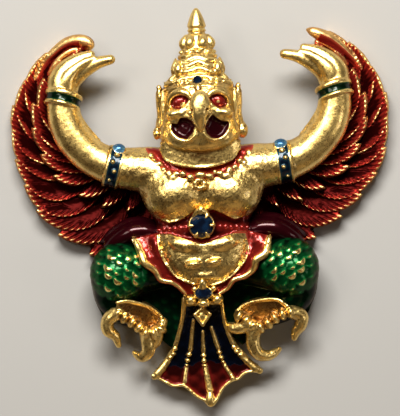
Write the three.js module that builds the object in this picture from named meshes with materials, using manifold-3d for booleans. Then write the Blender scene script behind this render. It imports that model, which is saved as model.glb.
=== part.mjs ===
// A gilt and enamelled garuda figure, cast in one piece with a flat back, and its three set stones.
// Millimetres. It lies on its back: +Z rises from the back, +Y points to the crown, +X is the viewer's right.

import * as THREE from 'three';
import { mergeVertices } from 'three/addons/utils/BufferGeometryUtils.js';
import Module from 'manifold-3d';

const wasm = await Module();
wasm.setup();

// Sizes of the real thing. The figure's pose and carving are drawn 42 units tall and scaled to HEIGHT.
const HEIGHT = 42;
const FOREHEAD_STONE_DIAMETER = 0.95;
const CHEST_STONE_DIAMETER = 2.5;
const BUCKLE_STONE_LENGTH = 1.7;
const BUCKLE_STONE_WIDTH = 1.25;
const STONE_CLEARANCE = 0.04;
const STONE_SIDES = 12;
const BEZEL_WALL = 0.24;

// Drawn sizes, in units of which the figure is 42 tall.
const DRAWN_HEIGHT = 42;
const BACK_EDGE = 0.45;
const WING_CENTRE = [9.19, 7.94];
const FEATHER_RELIEF = 0.9;
const BEAD_RELIEF = 0.28;
const HEAD_DEPTH = 7.9;
const CROWN_AXIS_Z = 5.2;
const ARM_AXIS_Z = 4.0;
const KNEE_RADIUS = 3.2;
const KNEE_Z = 3.5;
const TAIL_THICKNESS = 2.0;
const scale = HEIGHT / DRAWN_HEIGHT;

const GOLD = '#c9962f';
const STONE_BLUE = '#10264a';

const vec = (x, y, z) => new THREE.Vector3(x, y, z);

// A closed mesh as a solid at its real size.
function solid(geometry, factor = scale) {
  geometry.deleteAttribute('normal');
  geometry.deleteAttribute('uv');
  geometry.scale(factor, factor, factor);
  const merged = mergeVertices(geometry, 1e-4);
  return new wasm.Manifold(new wasm.Mesh({
    numProp: 3,
    vertProperties: merged.attributes.position.array,
    triVerts: new Uint32Array(merged.index.array),
  }));
}

// The same mesh on the other side of the middle line.
function mirrored(geometry) {
  const copy = geometry.clone().scale(-1, 1, 1);
  if (!copy.index) {
    copy.setIndex([...Array(copy.attributes.position.count).keys()]);
  }
  const order = copy.index.array;
  for (let i = 0; i < order.length; i += 3) {
    [order[i + 1], order[i + 2]] = [order[i + 2], order[i + 1]];
  }
  return copy;
}

// A closed skin over rings of equal count. A ring drawn from +X to +Z needs the next one further along +Y.
// On a bumpy skin every second point stands up, and the faces slope down from it on all sides.
function skin(rings, bumpy = false) {
  const count = rings[0].length;
  const points = rings.flat();
  const index = [];
  for (let k = 0; k + 1 < rings.length; k++) {
    for (let j = 0; j < count; j++) {
      const a = k * count + j;
      const b = k * count + (j + 1) % count;
      index.push(...(bumpy && (j + k) % 2 === 0
        ? [a, a + count, b, a + count, b + count, b]
        : [a, a + count, b + count, a, b + count, b]));
    }
  }
  const middle = (ring) => ring.reduce((sum, p) => sum.add(p), vec(0, 0, 0)).divideScalar(count);
  const last = (rings.length - 1) * count;
  const first = points.length;
  points.push(middle(rings[0]), middle(rings[rings.length - 1]));
  for (let j = 0; j < count; j++) {
    const next = (j + 1) % count;
    index.push(first, j, next, first + 1, last + next, last + j);
  }
  const geometry = new THREE.BufferGeometry().setFromPoints(points);
  geometry.setIndex(index);
  return geometry;
}

const ROUND = (sides) => Array.from({ length: sides }, (_, j) => {
  const a = 2 * Math.PI * (j + 0.5) / sides;
  return [Math.cos(a), Math.sin(a)];
});

// A limb along a smooth line. Each size is [half width, half height]. The stations are shares of the line,
// or a count of even ones, and a station given as [share, factor] swells or narrows the limb there.
function limb(path, sizes, stations, section = ROUND(6)) {
  const line = new THREE.CatmullRomCurve3(path.map((p) => vec(...p)));
  const size = new THREE.CatmullRomCurve3(sizes.map(([w, h]) => vec(w, h, 0)));
  const spots = stations.length ? stations : [...Array(stations + 1).keys()].map((k) => k / stations);
  return skin(spots.map((spot) => {
    const [t, factor] = Array.isArray(spot) ? spot : [spot, 1];
    const centre = line.getPoint(t);
    const tangent = line.getTangent(t);
    const side = tangent.clone().cross(vec(0, 0, 1)).normalize();
    const up = side.clone().cross(tangent).normalize();
    const { x: w, y: h } = size.getPoint(t);
    return section.map(([a, b]) => centre.clone()
      .addScaledVector(side, a * factor * Math.max(w, 0.02))
      .addScaledVector(up, b * factor * Math.max(h, 0.02)));
  }));
}

const even = (points, radius) => points.map(() => [radius, radius]);

// An egg of the given half sizes, its poles up and down.
function egg([x, y, z], [rx, ry, rz], across = 6, rows = 3, turn = 0) {
  const geometry = new THREE.SphereGeometry(1, across, rows).rotateX(Math.PI / 2);
  geometry.scale(rx, ry, rz);
  geometry.rotateZ(turn);
  geometry.translate(x, y, z);
  return geometry;
}

// A flat-backed relief: its upper faces, walls down from their border, and a flat back at the given height.
function relief(points, faces, back) {
  const border = new Map();
  const directed = new Set(faces.flatMap(([a, b, c]) => [`${a},${b}`, `${b},${c}`, `${c},${a}`]));
  for (const edge of directed) {
    const [a, b] = edge.split(',').map(Number);
    if (!directed.has(`${b},${a}`)) {
      border.set(a, b);
    }
  }
  const loop = [[...border.keys()][0]];
  while (border.get(loop[loop.length - 1]) !== loop[0]) {
    loop.push(border.get(loop[loop.length - 1]));
  }
  const under = points.length;
  const all = [...points, ...loop.map((i) => vec(points[i].x, points[i].y, back))];
  const index = faces.flat();
  loop.forEach((a, j) => {
    const next = (j + 1) % loop.length;
    index.push(a, under + j, under + next, a, under + next, loop[next]);
  });
  const outline = loop.map((i) => new THREE.Vector2(points[i].x, points[i].y));
  for (const [a, b, c] of THREE.ShapeUtils.triangulateShape(outline, [])) {
    index.push(under + a, under + c, under + b);
  }
  const geometry = new THREE.BufferGeometry().setFromPoints(all);
  geometry.setIndex(index);
  return geometry;
}

// A flat-backed slice of the body at height y: half width, back, front and how round its front is.
function slice([y, half, back, front, round = 0.8], across) {
  const ring = [vec(half - BACK_EDGE, y, back)];
  for (let j = 0; j <= across; j++) {
    const a = Math.PI * j / across;
    const low = back + BACK_EDGE;
    const wide = Math.sign(Math.cos(a)) * Math.abs(Math.cos(a)) ** round;
    ring.push(vec(half * wide, y, low + (front - low) * Math.abs(Math.sin(a)) ** round));
  }
  ring.push(vec(BACK_EDGE - half, y, back));
  return ring;
}

// An oval slice of the head or neck, free all round.
function oval([y, half, back, front], across) {
  const middle = (back + front) / 2;
  return ROUND(across).map(([c, s]) => vec(half * c, y, middle + (front - middle) * s));
}

// A plate with a rounded upper edge, cut from an outline of [x, y] points.
function plate(outline, low, high, edge) {
  const shape = new THREE.Shape(outline.map(([x, y]) => new THREE.Vector2(x, y)));
  const geometry = new THREE.ExtrudeGeometry(shape, {
    depth: high - low - 2 * edge,
    bevelThickness: edge,
    bevelSize: edge,
    bevelOffset: -edge,
    bevelEnabled: edge > 0,
    bevelSegments: 1,
    curveSegments: 1,
  });
  geometry.translate(0, 0, low + edge);
  return geometry;
}

// A turned piece about the Z axis from [radius, z] points that start and end on the axis.
function turned(profile, sides) {
  const points = profile.map(([r, z]) => new THREE.Vector2(r, z));
  return new THREE.LatheGeometry(points, sides).rotateX(Math.PI / 2);
}

const parts = [];
const add = (...geometries) => parts.push(...geometries);
const pair = (...geometries) => geometries.forEach((g) => add(g, mirrored(g)));

// Trunk: broad chest, a sunk belt, and a full belly with a clear upper edge; flat behind.
add(skin([
  [6.6, 2.8, 1.2, 5.2],
  [5.6, 5.2, 0.4, 6.2],
  [3.7, 6.2, 0, 7.1, 0.65],
  [1.2, 6.1, 0, 7.0, 0.65],
  [-1.0, 4.9, 0, 6.3, 0.6],
  [-1.5, 4.8, 0, 5.8, 0.6],
  [-2.75, 4.75, 0, 5.7, 0.6],
  [-2.95, 5.0, 0, 6.5, 0.55],
  [-4.6, 4.9, 0, 7.2, 0.55],
  [-6.2, 4.05, 0, 7.1, 0.55],
  [-7.4, 2.6, 0, 6.3, 0.6],
  [-8.2, 0.9, 0, 5.2, 0.6],
].reverse().map((s) => slice(s, 8))));
pair(egg([3.05, 2.0, 3.7], [3.6, 3.35, 3.65], 10, 5, -0.35));

// Belly rim: a cord that follows the belly's outline.
pair(limb(
  [[4.85, -2.9, 4.9], [4.8, -4.4, 5.2], [4.1, -6.1, 5.2], [2.5, -7.4, 5.1], [0.1, -8.2, 5.0]],
  even([1, 2, 3, 4, 5], 0.34), 5, ROUND(4),
));

// Collar: a band over the chest from shoulder to shoulder, with bosses and a middle pendant.
const COLLAR = [-5.2, -4.3, -2.4, 0, 2.4, 4.3, 5.2];
add(limb(
  COLLAR.map((x) => [x, 3.35 + 0.11 * x * x, 7.85 - 0.105 * x * x]),
  COLLAR.map(() => [0.62, 0.5]), 8, ROUND(5),
));
for (const x of [-4.3, -2.6, 2.4, 4.1]) {
  add(egg([x, 3.05 + 0.105 * x * x, 8.1 - 0.08 * x * x], [0.5, 0.5, 0.6], 5, 3));
}
add(egg([-0.17, 2.7, 7.5], [0.85, 0.75, 0.7], 6, 3));

// Head: a full face and double chin, clear of the back. The last slices ripple as forehead fillets and folds.
const headFront = 1.5 + HEAD_DEPTH;
const HEAD = [
  [4.2, 2.4, 3.2, headFront - 1.2],
  [5.0, 3.5, 2.5, headFront - 0.7],
  [6.1, 4.05, 2.1, headFront - 0.4],
  [7.4, 4.2, 1.9, headFront - 0.1],
  [8.9, 4.1, 1.6, headFront],
  [10.4, 3.9, 1.5, headFront - 0.05],
  [11.8, 3.8, 1.5, headFront - 0.5],
  [12.65, 3.7, 1.7, headFront - 1.0],
  [12.95, 3.8, 1.7, headFront - 0.8],
  [13.4, 3.4, 2.0, headFront - 1.35],
  [13.75, 3.4, 2.0, headFront - 1.15],
  [14.2, 2.75, 2.5, headFront - 1.9],
  [14.6, 2.7, 2.5, headFront - 1.7],
  [15.1, 2.1, 3.0, headFront - 2.4],
  [15.5, 2.1, 3.0, headFront - 2.15],
  [16.1, 1.5, 3.6, headFront - 2.9],
];
add(skin(HEAD.map((s) => oval(s, 12))));
// A point on the face, raised above its skin.
function onFace(x, y, lift = 0) {
  const k = Math.max(1, HEAD.findIndex((s) => s[0] > y));
  const t = (y - HEAD[k - 1][0]) / (HEAD[k][0] - HEAD[k - 1][0]);
  const [, half, back, front] = HEAD[k].map((v, i) => THREE.MathUtils.lerp(HEAD[k - 1][i], v, t));
  const middle = (back + front) / 2;
  return [x, y, middle + 0.97 * (front - middle) * Math.sqrt(Math.max(0, 1 - (x / half) ** 2)) + lift];
}

// Brows, eyes and cheeks.
pair(
  limb([[0.7, 11.4], [1.35, 12.1], [2.2, 12.3], [2.95, 11.8], [3.2, 11.0]].map(([x, y]) => onFace(x, y, 0.1)),
    [[0.16, 0.2], [0.28, 0.42], [0.3, 0.46], [0.27, 0.42], [0.16, 0.2]], 5, ROUND(4)),
  egg(onFace(2.0, 11.05, -0.1), [0.85, 0.68, 0.5], 8, 3),
  egg(onFace(2.85, 9.75, -0.15), [0.95, 0.65, 0.75], 6, 3),
);

// Beak: a bulbous nose that narrows to a hooked tip over the mouth.
add(limb(
  [[12.5, -0.1], [11.5, 0.4], [10.4, 0.7], [9.5, 0.7], [8.7, 0.3], [7.95, -0.2]].map(
    ([y, lift]) => onFace(0, y, lift)),
  [[0.3, 0.3], [0.85, 0.7], [1.0, 0.95], [0.85, 0.95], [0.55, 0.8], [0.15, 0.3]],
  6, ROUND(6),
));

// Mouth: two open corners beside the beak, each with a raised lip under it.
const MOUTH = [[1.35, 9.75], [0.55, 8.4], [0.92, 7.6], [1.55, 7.28], [2.4, 7.55], [2.95, 8.4], [2.95, 8.95]];
const mouthTool = plate(MOUTH, headFront - 1.6, headFront + 2, 0);
const LIP = [[0.5, 8.1], [0.95, 7.4], [1.6, 7.08], [2.6, 7.35], [3.2, 8.3], [3.2, 9.1]];
pair(limb(LIP.map(([x, y]) => onFace(x, y, 0.05)), even(LIP, 0.26), 5, ROUND(4)));

// Ears: thin flaps with a pointed top and a round lobe.
pair(limb(
  [[3.95, 12.8, 5.2], [4.0, 11.6, 5.2], [4.05, 10.0, 5.1], [4.35, 8.5, 5.1], [4.4, 7.5, 5.0]],
  [[0.1, 0.3], [0.38, 0.9], [0.4, 1.0], [0.5, 1.0], [0.15, 0.4]],
  6, ROUND(5),
));

// Crown: side leaves, a lobed tier and the ringed spire.
pair(limb(
  [[2.5, 13.8, 6.1], [2.5, 14.8, 6.1], [2.35, 15.75, 5.7]],
  [[0.45, 0.7], [0.5, 0.7], [0.06, 0.1]], 3, ROUND(5),
));
// Crown rings: height, radius and how far the lobes stand out.
const CROWN = [[15.6, 1.2], [16.2, 1.78], [16.6, 1.45], [17.0, 1.75, 0.35], [17.7, 1.7, 0.4],
  [18.3, 1.05, 0.1], [18.6, 1.06], [18.8, 0.86], [19.05, 0.96], [19.9, 0.72], [20.8, 0.3], [21, 0.05]];
const LOBES = 6;
add(skin(CROWN.map(([y, r, lobe = 0]) => ROUND(2 * LOBES).map(([c, s], j) => {
  const radius = r + (j % 2 ? 0 : lobe) - 0.5 * lobe;
  return vec(radius * c, y, CROWN_AXIS_Z + radius * s);
}))));

// Arms, raised and curved like a bow, each with a beaded armlet and two wrist rings.
pair(limb(
  [[3.6, 3.9, 3.9], [6.4, 4.3, 4.2], [8.8, 4.55, 4.1], [11.5, 5.75, ARM_AXIS_Z], [13.35, 7.8, ARM_AXIS_Z],
    [14.15, 9.7, ARM_AXIS_Z], [14.3, 11.6, ARM_AXIS_Z], [14.45, 12.9, ARM_AXIS_Z]],
  [[2.3, 2.5], [2.2, 2.4], [2.1, 2.1], [1.88, 1.9], [1.9, 1.9], [1.8, 1.8], [1.7, 1.7], [1.5, 1.4]],
  [0, 0.24, [0.25, 1.13], [0.315, 1.15], [0.325, 1], 0.45, 0.57, 0.69, [0.775, 0.99], [0.785, 1.14],
    [0.81, 1.14], [0.82, 0.96], [0.875, 0.96], [0.885, 1.14], [0.91, 1.14], [0.92, 0.9], 1],
  ROUND(8),
));
for (let k = 0; k < 3; k++) {
  const a = THREE.MathUtils.degToRad(75 - 38 * k);
  const [across, up] = [2.3 * Math.sin(a), 2.3 * Math.cos(a)];
  pair(egg([8.72 - 0.16 * across, 4.5 + across, 4.1 + up], [0.6, 0.6, 0.6], 5, 3));
}

// Hands, bent back: three fingers together over one long finger.
pair(
  limb([[14.4, 12.4, 4.0], [14.5, 13.7, 4.0], [13.75, 15.0, 4.1], [12.4, 16.05, 4.2], [11.1, 16.6, 4.2]],
    [[1.5, 1.4], [1.35, 1.3], [1.15, 1.15], [0.75, 0.9], [0.2, 0.35]], 5, ROUND(6)),
  limb([[14.2, 12.6, 3.8], [13.6, 13.8, 3.8], [12.3, 15.0, 3.9], [10.6, 15.8, 4.0], [8.85, 16.15, 4.0]],
    [[1.4, 1.3], [1.15, 1.1], [0.8, 0.85], [0.52, 0.55], [0.2, 0.25]], 5, ROUND(6)),
);

// Wings: two rows of overlapping feathers that spiral out from under the arm and point upward at their tips.
// Each feather rises steeply from its outer edge to the quill and slopes down to the next feather's edge.
function stitch(a, b) {
  const faces = [];
  let i = 0;
  let j = 0;
  while (i + 1 < a.length || j + 1 < b.length) {
    const alongA = j + 1 === b.length
      || (i + 1 < a.length && (i + 1) / a.length <= (j + 1) / b.length);
    faces.push(alongA ? [a[i], b[j], a[i + 1]] : [a[i], b[j], b[j + 1]]);
    i += alongA ? 1 : 0;
    j += alongA ? 0 : 1;
  }
  return faces;
}
function featherRow(tips, { spots, meets, drop, edge, quill, back }) {
  const points = [];
  const reach = spots[spots.length - 1];
  const place = ([tipAngle, tipRadius], behind, inward, height) => {
    const share = behind / reach;
    const a = THREE.MathUtils.degToRad(tipAngle - behind);
    const r = tipRadius - drop * share ** 1.5 - inward;
    const [x, y] = WING_CENTRE;
    return points.push(vec(x + r * Math.cos(a), y + r * Math.sin(a), height(share))) - 1;
  };
  const edges = tips.map((tip) => spots.map((behind) => place(tip, behind, 0, edge)));
  const quills = tips.map((tip) => spots.slice(1).map((behind, j) => place(
    tip, 0.3 * spots[j] + 0.7 * behind, Math.min(0.12 + 0.02 * behind, 0.8), quill)));
  const faces = tips.flatMap((_, i) => [
    ...stitch(edges[i], quills[i]),
    ...(i + 1 < tips.length ? stitch([edges[i][0], ...quills[i]], edges[i + 1].slice(meets)) : []),
  ]);
  return relief(points, faces, back);
}
// Feather tips about the wing's centre: angle from +X and distance.
const OUTER_ROW = [[-92, 12.6], [-76, 12.1], [-60, 11.3], [-43.5, 10.85], [-27.5, 10.7], [-11.5, 10.65],
  [4.5, 10.78], [20, 10.8], [36.5, 10.85], [54, 11.2], [70, 11.0]];
const INNER_ROW = [[-96, 8.2], [-78, 7.75], [-57, 7.5], [-33, 7.75], [-12, 8.05], [7, 8.6], [24.5, 9.2],
  [41.5, 9.6], [58, 9.8], [73, 9.9]];
pair(featherRow(OUTER_ROW, {
  spots: [0, 8, 16, 44], meets: 2, drop: 3.7, back: 0,
  edge: (t) => 0.65 + 0.95 * t,
  quill: (t) => 1.05 + FEATHER_RELIEF * Math.min(1, 2.2 * t),
}));
pair(featherRow(INNER_ROW, {
  spots: [0, 9, 18, 44], meets: 2, drop: 3.0, back: 0.4,
  edge: (t) => 2.1 + 0.4 * t,
  quill: (t) => 2.4 + FEATHER_RELIEF * Math.min(1, 2 * t),
}));
// A web behind the arm carries it, and a lower one closes the wing to the trunk.
pair(
  plate([[4.0, 0.4], [7.4, 0.9], [10.4, 2.1], [13.0, 3.9], [14.9, 6.2], [15.7, 8.8], [15.7, 12.6],
    [13.3, 12.6], [12.9, 10.2], [12.2, 8.6], [10.8, 7.0], [8.6, 5.8], [4.0, 5.4]], 0, 3.1, 0),
  plate([[3.0, -1.0], [7.2, -0.4], [10.4, 0.5], [13.4, 2.2], [15.7, 4.8], [16.6, 7.8], [16.4, 12.0],
    [14.5, 12.0], [14.0, 8.0], [10.0, 4.5], [3.0, 3.0]], 0, 1.2, 0),
);
// The topmost feather is broad and curls over the fingertips.
pair(limb(
  [[16.6, 14.9, 1.5], [15.5, 16.8, 1.6], [13.8, 18.1, 1.8], [12.3, 18.55, 1.9], [11.2, 18.2, 2.0],
    [10.95, 17.5, 2.0], [11.5, 17.1, 2.0]],
  [[0.5, 0.9], [0.65, 1.0], [0.7, 1.1], [0.62, 1.1], [0.5, 0.9], [0.35, 0.7], [0.15, 0.4]], 7, ROUND(5),
));
// A small rolled cloth between wing and thigh.
pair(limb(
  [[4.9, -2.6, 2.6], [6.3, -2.2, 2.9], [7.8, -2.5, 2.9], [9.4, -3.4, 2.5], [10.6, -4.1, 1.9]],
  [[1.1, 1.6], [1.2, 1.7], [1.15, 1.6], [0.95, 1.3], [0.4, 0.8]], 4, ROUND(6),
));

// Legs: thighs spread to round, scaly knees, shins folded inward under them.
function scalyBall([x, y, z], radius, across, lifts) {
  return skin(lifts.map((lift, k) => Array.from({ length: across }, (_, j) => {
    const a = -2 * Math.PI * j / across;
    const r = radius + (k > 1 && k + 1 < lifts.length && (j + k) % 2 === 0 ? BEAD_RELIEF : 0);
    const up = THREE.MathUtils.degToRad(lift);
    return vec(x + r * Math.cos(up) * Math.cos(a), y + r * Math.cos(up) * Math.sin(a), z + r * Math.sin(up));
  })), true);
}
pair(
  limb([[2.6, -5.2, 2.9], [5.4, -5.9, 3.0], [8.0, -6.3, KNEE_Z]],
    [[2.2, 2.4], [2.5, 2.3], [2.7, 2.6]], 2, ROUND(6)),
  scalyBall([8.88, -6.45, KNEE_Z], KNEE_RADIUS, 14, [-40, -8, 16, 37, 57, 76]),
  limb([[9.8, -7.2, 3.0], [9.4, -9.2, 2.7], [8.0, -10.6, 2.5], [6.0, -11.6, 2.2]],
    [[2.1, 2.9], [2.0, 2.5], [1.7, 2.2], [1.2, 1.8]], 3, ROUND(6)),
  plate([[1.0, -7.4], [5.0, -5.0], [11.2, -5.0], [11.9, -7.6], [10.9, -11.3], [8.8, -11.6], [5.2, -13.3],
    [3.8, -14.6], [2.0, -13.0]], 0, 2.4, 0),
);

// Sash: a cloth below the belly with a rolled, waving edge.
pair(skin([
  [[4.3, -2.9], [7.6, -3.1], 5.5],
  [[4.3, -4.2], [6.8, -4.5], 6.3],
  [[4.0, -5.2], [6.7, -5.7], 6.2],
  [[3.4, -6.1], [4.9, -6.6], 6.1],
  [[2.6, -6.8], [4.7, -7.7], 5.8],
  [[1.5, -7.4], [2.9, -8.0], 5.6],
  [[0.6, -7.8], [2.2, -9.2], 5.3],
].map(([[xi, yi], [xo, yo], z]) => [
  vec(xo, yo, 2.2), vec(xo, yo, z), vec(xo - 0.5, yo + 0.2, z + 0.15),
  vec((xi + xo) / 2, (yi + yo) / 2, z - 0.6), vec(xi, yi, z - 0.9), vec(xi, yi, 1.0),
]).reverse()));

// Tail apron: a flaring plate with a scalloped hem and five beaded ribs.
const tailHalf = (y) => 1.9 + 0.066 * Math.max(0, -9.6 - y) ** 1.95;
const tailFront = (y) => TAIL_THICKNESS + 2.3 * THREE.MathUtils.smoothstep(y, -16.5, -9.5);
// Columns across: share of the half width, rib height, and where the column ends at the hem.
const RIGHT_TAIL = [[0.24, -0.25, 1.9, -19.35], [0.45, 0.4, 3.3, -18.85], [0.66, -0.25, 4.0, -18.25],
  [0.86, 0.45, 5.0, -18.05], [1, 0.1, 5.78, -17.65]];
const LEFT_TAIL = RIGHT_TAIL.map(([share, lift, x, y]) => [-share, lift, -x, y]).reverse();
const ACROSS = [...LEFT_TAIL, [-0.05, 0.4, 0.05, -21], ...RIGHT_TAIL];
// Rows down the tail; the last three are the rolled hem: how far inside the outline they lie, and their rise.
const ROWS = [-7.4, -9.8, -11.6, -13.2, -14.5, -15.0, -15.5, -16.0, [0.14, -0.1], [0.06, 0.6], [0, -0.3]];
const tailPoints = [];
const tailRows = ROWS.map((row, k) => (
  ACROSS.map(([share, lift, hemX, hemY]) => {
    if (Array.isArray(row)) {
      const [inside, rise] = row;
      const y = THREE.MathUtils.lerp(hemY, -13, inside * 1.5);
      return tailPoints.push(vec(hemX * (1 - inside), y, tailFront(y) + lift + rise)) - 1;
    }
    const bead = lift > 0.2 && (k === 5 || k === 7) ? BEAD_RELIEF : 0;
    return tailPoints.push(vec(share * tailHalf(row), row, tailFront(row) + lift + bead)) - 1;
  })));
add(relief(tailPoints, tailRows.slice(1).flatMap((row, k) => stitch(tailRows[k], row)), 0));

// Buckle: petals and balls round the stone, and a diamond drop below.
add(egg([-0.25, -7.9, 5.5], [0.55, 0.65, 0.8]));
pair(egg([1.42, -9.5, 4.7], [0.58, 0.58, 0.9]));
add(egg([-0.1, -10.0, 4.9], [0.62, 0.42, 0.8]));
add(skin([[-12.3, 0.1, 4.0], [-11.35, 0.98, 4.8], [-10.4, 0.1, 4.6]].map(([y, w, z]) => [
  vec(w - 0.35, y, 2.6), vec(w - 0.35, y, z), vec(-0.35, y, z + 0.35), vec(-w - 0.35, y, z),
  vec(-w - 0.35, y, 2.6),
])));

// Feet: a smooth shank edged with ridged scutes, and hooked toes. The two differ a little.
const RIDGES = 4;
function foot(centre, turn, scutes, toes) {
  add(egg([...centre, 3.3], [2.85, 1.5, 2.0], 8, 4, turn));
  const row = scutes.map(([x, y]) => [x, y, 4.0]);
  const ridges = [...Array(2 * RIDGES + 1).keys()].map((k) => [k / (2 * RIDGES), k % 2 ? 0.72 : 1]);
  add(limb(row, row.map(() => [0.7, 0.85]), ridges, ROUND(5)));
  for (const toe of toes) {
    const path = toe.map(([x, y], i) => [x, y, 4.0 - 0.25 * i]);
    const sizes = toe.map((_, i) => [0.66 - 0.04 * i, 0.7 - 0.04 * i]);
    sizes[sizes.length - 1] = [0.22, 0.25];
    add(limb(path, sizes, toe.length, ROUND(5)));
  }
}
foot([-7.0, -10.95], -0.52,
  [[-9.6, -10.5], [-8.6, -11.1], [-7.6, -11.7], [-6.8, -12.4], [-6.1, -12.9], [-5.2, -12.8], [-4.6, -12.0],
    [-4.5, -11.4]],
  [[[-9.4, -10.7], [-10.3, -11.6], [-10.3, -12.6], [-9.5, -13.3], [-9.3, -14.2]],
    [[-6.6, -12.8], [-6.2, -13.8], [-6.1, -14.9], [-6.7, -15.6], [-7.6, -15.0]]]);
foot([5.95, -11.0], 0.1,
  [[9.4, -11.2], [8.3, -11.35], [7.4, -11.6], [6.7, -12.1], [6.0, -12.6], [5.2, -12.7], [4.3, -12.1],
    [3.3, -11.4]],
  [[[9.0, -11.3], [10.1, -11.8], [9.8, -12.9], [9.2, -14.05]],
    [[5.2, -12.7], [4.85, -13.8], [5.0, -14.9], [5.6, -15.6], [6.6, -15.6], [7.6, -15.15]],
    [[4.6, -12.4], [3.5, -12.6], [2.4, -12.4]]]);

// Stones: each sits in a turned bezel, in a seat wider and deeper than itself by the clearance.
const stone = (name, at, length, width = length) => ({ name, at, length, width });
const STONES = [
  stone('forehead_stone', [-0.1, 13.35, 8.35], FOREHEAD_STONE_DIAMETER),
  stone('chest_stone', [-0.16, -1.82, 6.9], CHEST_STONE_DIAMETER),
  stone('buckle_stone', [-0.19, -8.92, 5.9], BUCKLE_STONE_LENGTH, BUCKLE_STONE_WIDTH),
];
// A brilliant's outline: table, crown, girdle and a blunt point below, in shares of its half length.
const STONE_PROFILE = [[0, -0.62], [0.3, -0.55], [1, -0.06], [1, 0.06], [0.62, 0.34], [0, 0.34]];
function stoneShape({ at, length, width }, grow, top) {
  const radius = length / 2;
  const profile = STONE_PROFILE.map(([r, z]) => (
    [r * radius + (r > 0.9 ? grow : 0), z * radius - (z < 0 ? grow : 0)]));
  if (top) {
    profile.splice(3, 3, [radius + grow, top], [0, top]);
  }
  const geometry = turned(profile, STONE_SIDES);
  geometry.scale(1, width / length, 1);
  return geometry.translate(...at.map((v) => v * scale));
}
function bezel({ at, length, width }) {
  const r = length / 2 + BEZEL_WALL + STONE_CLEARANCE;
  const low = -1.6 - 0.4 * r;
  const geometry = turned([[0, low], [r * 1.08, low], [r, 0.12], [0, 0.2]], STONE_SIDES);
  geometry.scale(1, (width / 2 + BEZEL_WALL + STONE_CLEARANCE) / r, 1);
  return geometry.translate(...at.map((v) => v * scale));
}

let figure = parts.map((g) => solid(g)).reduce((sum, s) => sum.add(s));
figure = figure.subtract(solid(mouthTool.clone())).subtract(solid(mirrored(mouthTool)));
for (const set of STONES) {
  figure = figure.add(solid(bezel(set), 1));
  figure = figure.subtract(solid(stoneShape(set, STONE_CLEARANCE, 3), 1));
}

function meshOf(name, made, material) {
  const { vertProperties, triVerts } = made.getMesh();
  const geometry = new THREE.BufferGeometry();
  geometry.setAttribute('position', new THREE.BufferAttribute(vertProperties, 3));
  geometry.setIndex(new THREE.BufferAttribute(triVerts, 1));
  geometry.computeVertexNormals();
  const mesh = new THREE.Mesh(geometry, material);
  mesh.name = name;
  return mesh;
}

const gold = new THREE.MeshStandardMaterial({ color: GOLD, roughness: 0.32, metalness: 1 });
const blue = new THREE.MeshStandardMaterial({ color: STONE_BLUE, roughness: 0.08, metalness: 0 });

const garuda = new THREE.Group();
garuda.add(meshOf('garuda_figure', figure, gold));
for (const set of STONES) {
  garuda.add(meshOf(set.name, solid(stoneShape(set, 0), 1), blue));
}

export default garuda;
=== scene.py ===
# %% [markdown]
# A small garuda figure: a gilt casting, 42 mm tall, with coloured enamel fired into its hollows and three
# set stones. It lies on its flat back and the camera looks straight down on it.
#
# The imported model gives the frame: every piece made here sits in the same place and at the same size.

# %% Load the frame
import math

import bpy
import numpy as np
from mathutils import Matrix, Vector


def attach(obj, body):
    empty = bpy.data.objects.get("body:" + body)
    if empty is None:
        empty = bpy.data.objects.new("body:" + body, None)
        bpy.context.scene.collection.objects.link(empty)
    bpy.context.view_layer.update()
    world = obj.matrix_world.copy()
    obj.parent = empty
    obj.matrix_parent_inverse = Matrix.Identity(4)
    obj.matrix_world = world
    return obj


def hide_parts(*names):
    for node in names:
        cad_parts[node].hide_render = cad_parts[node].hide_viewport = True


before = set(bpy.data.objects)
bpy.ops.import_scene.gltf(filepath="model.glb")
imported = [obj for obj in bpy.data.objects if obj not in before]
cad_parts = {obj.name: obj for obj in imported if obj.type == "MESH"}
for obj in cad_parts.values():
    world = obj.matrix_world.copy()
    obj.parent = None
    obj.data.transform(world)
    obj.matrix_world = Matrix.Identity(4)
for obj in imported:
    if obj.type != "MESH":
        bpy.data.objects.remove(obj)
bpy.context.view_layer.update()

FIGURE = "garuda_figure"
HANDS = {"left": -1, "right": 1}
MM = 0.001

# %% [markdown]
# The carving is modelled as clay. A block of clay is a grid of small cells, and each cell holds its distance
# to the surface: below zero inside, above zero outside. Adding a shape keeps the smaller distance and
# cutting one keeps the larger. A soft join blends two distances, as a thumb smooths wax. This way was chosen
# over moving vertices by hand because a casting flows from form to form with no seams, and every form stays
# a plain function. All places and sizes in the clay are in millimetres.

# %% Lines and distances
CELL = 0.1
NOTHING = -9.0


def unit(value):
    return np.clip(value, 0, 1)


def soft_min(a, b, blend):
    if blend <= 0:
        return np.minimum(a, b)
    h = unit(0.5 + 0.5 * (b - a) / blend)
    return b + (a - b) * h - blend * h * (1 - h)


def smooth_line(points, steps=6):
    """A smooth line through the points, with steps stretches between each two."""
    p = np.array(points, float)
    p = np.vstack([2 * p[0] - p[1], p, 2 * p[-1] - p[-2]])
    t = np.linspace(0, 1, steps, endpoint=False)[:, None]
    runs = [0.5 * (2 * b + (c - a) * t + (2 * a - 5 * b + 4 * c - d) * t**2 + (3 * b - a - 3 * c + d) * t**3)
            for a, b, c, d in zip(p, p[1:], p[2:], p[3:])]
    return np.vstack(runs + [p[-2][None]])


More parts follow.
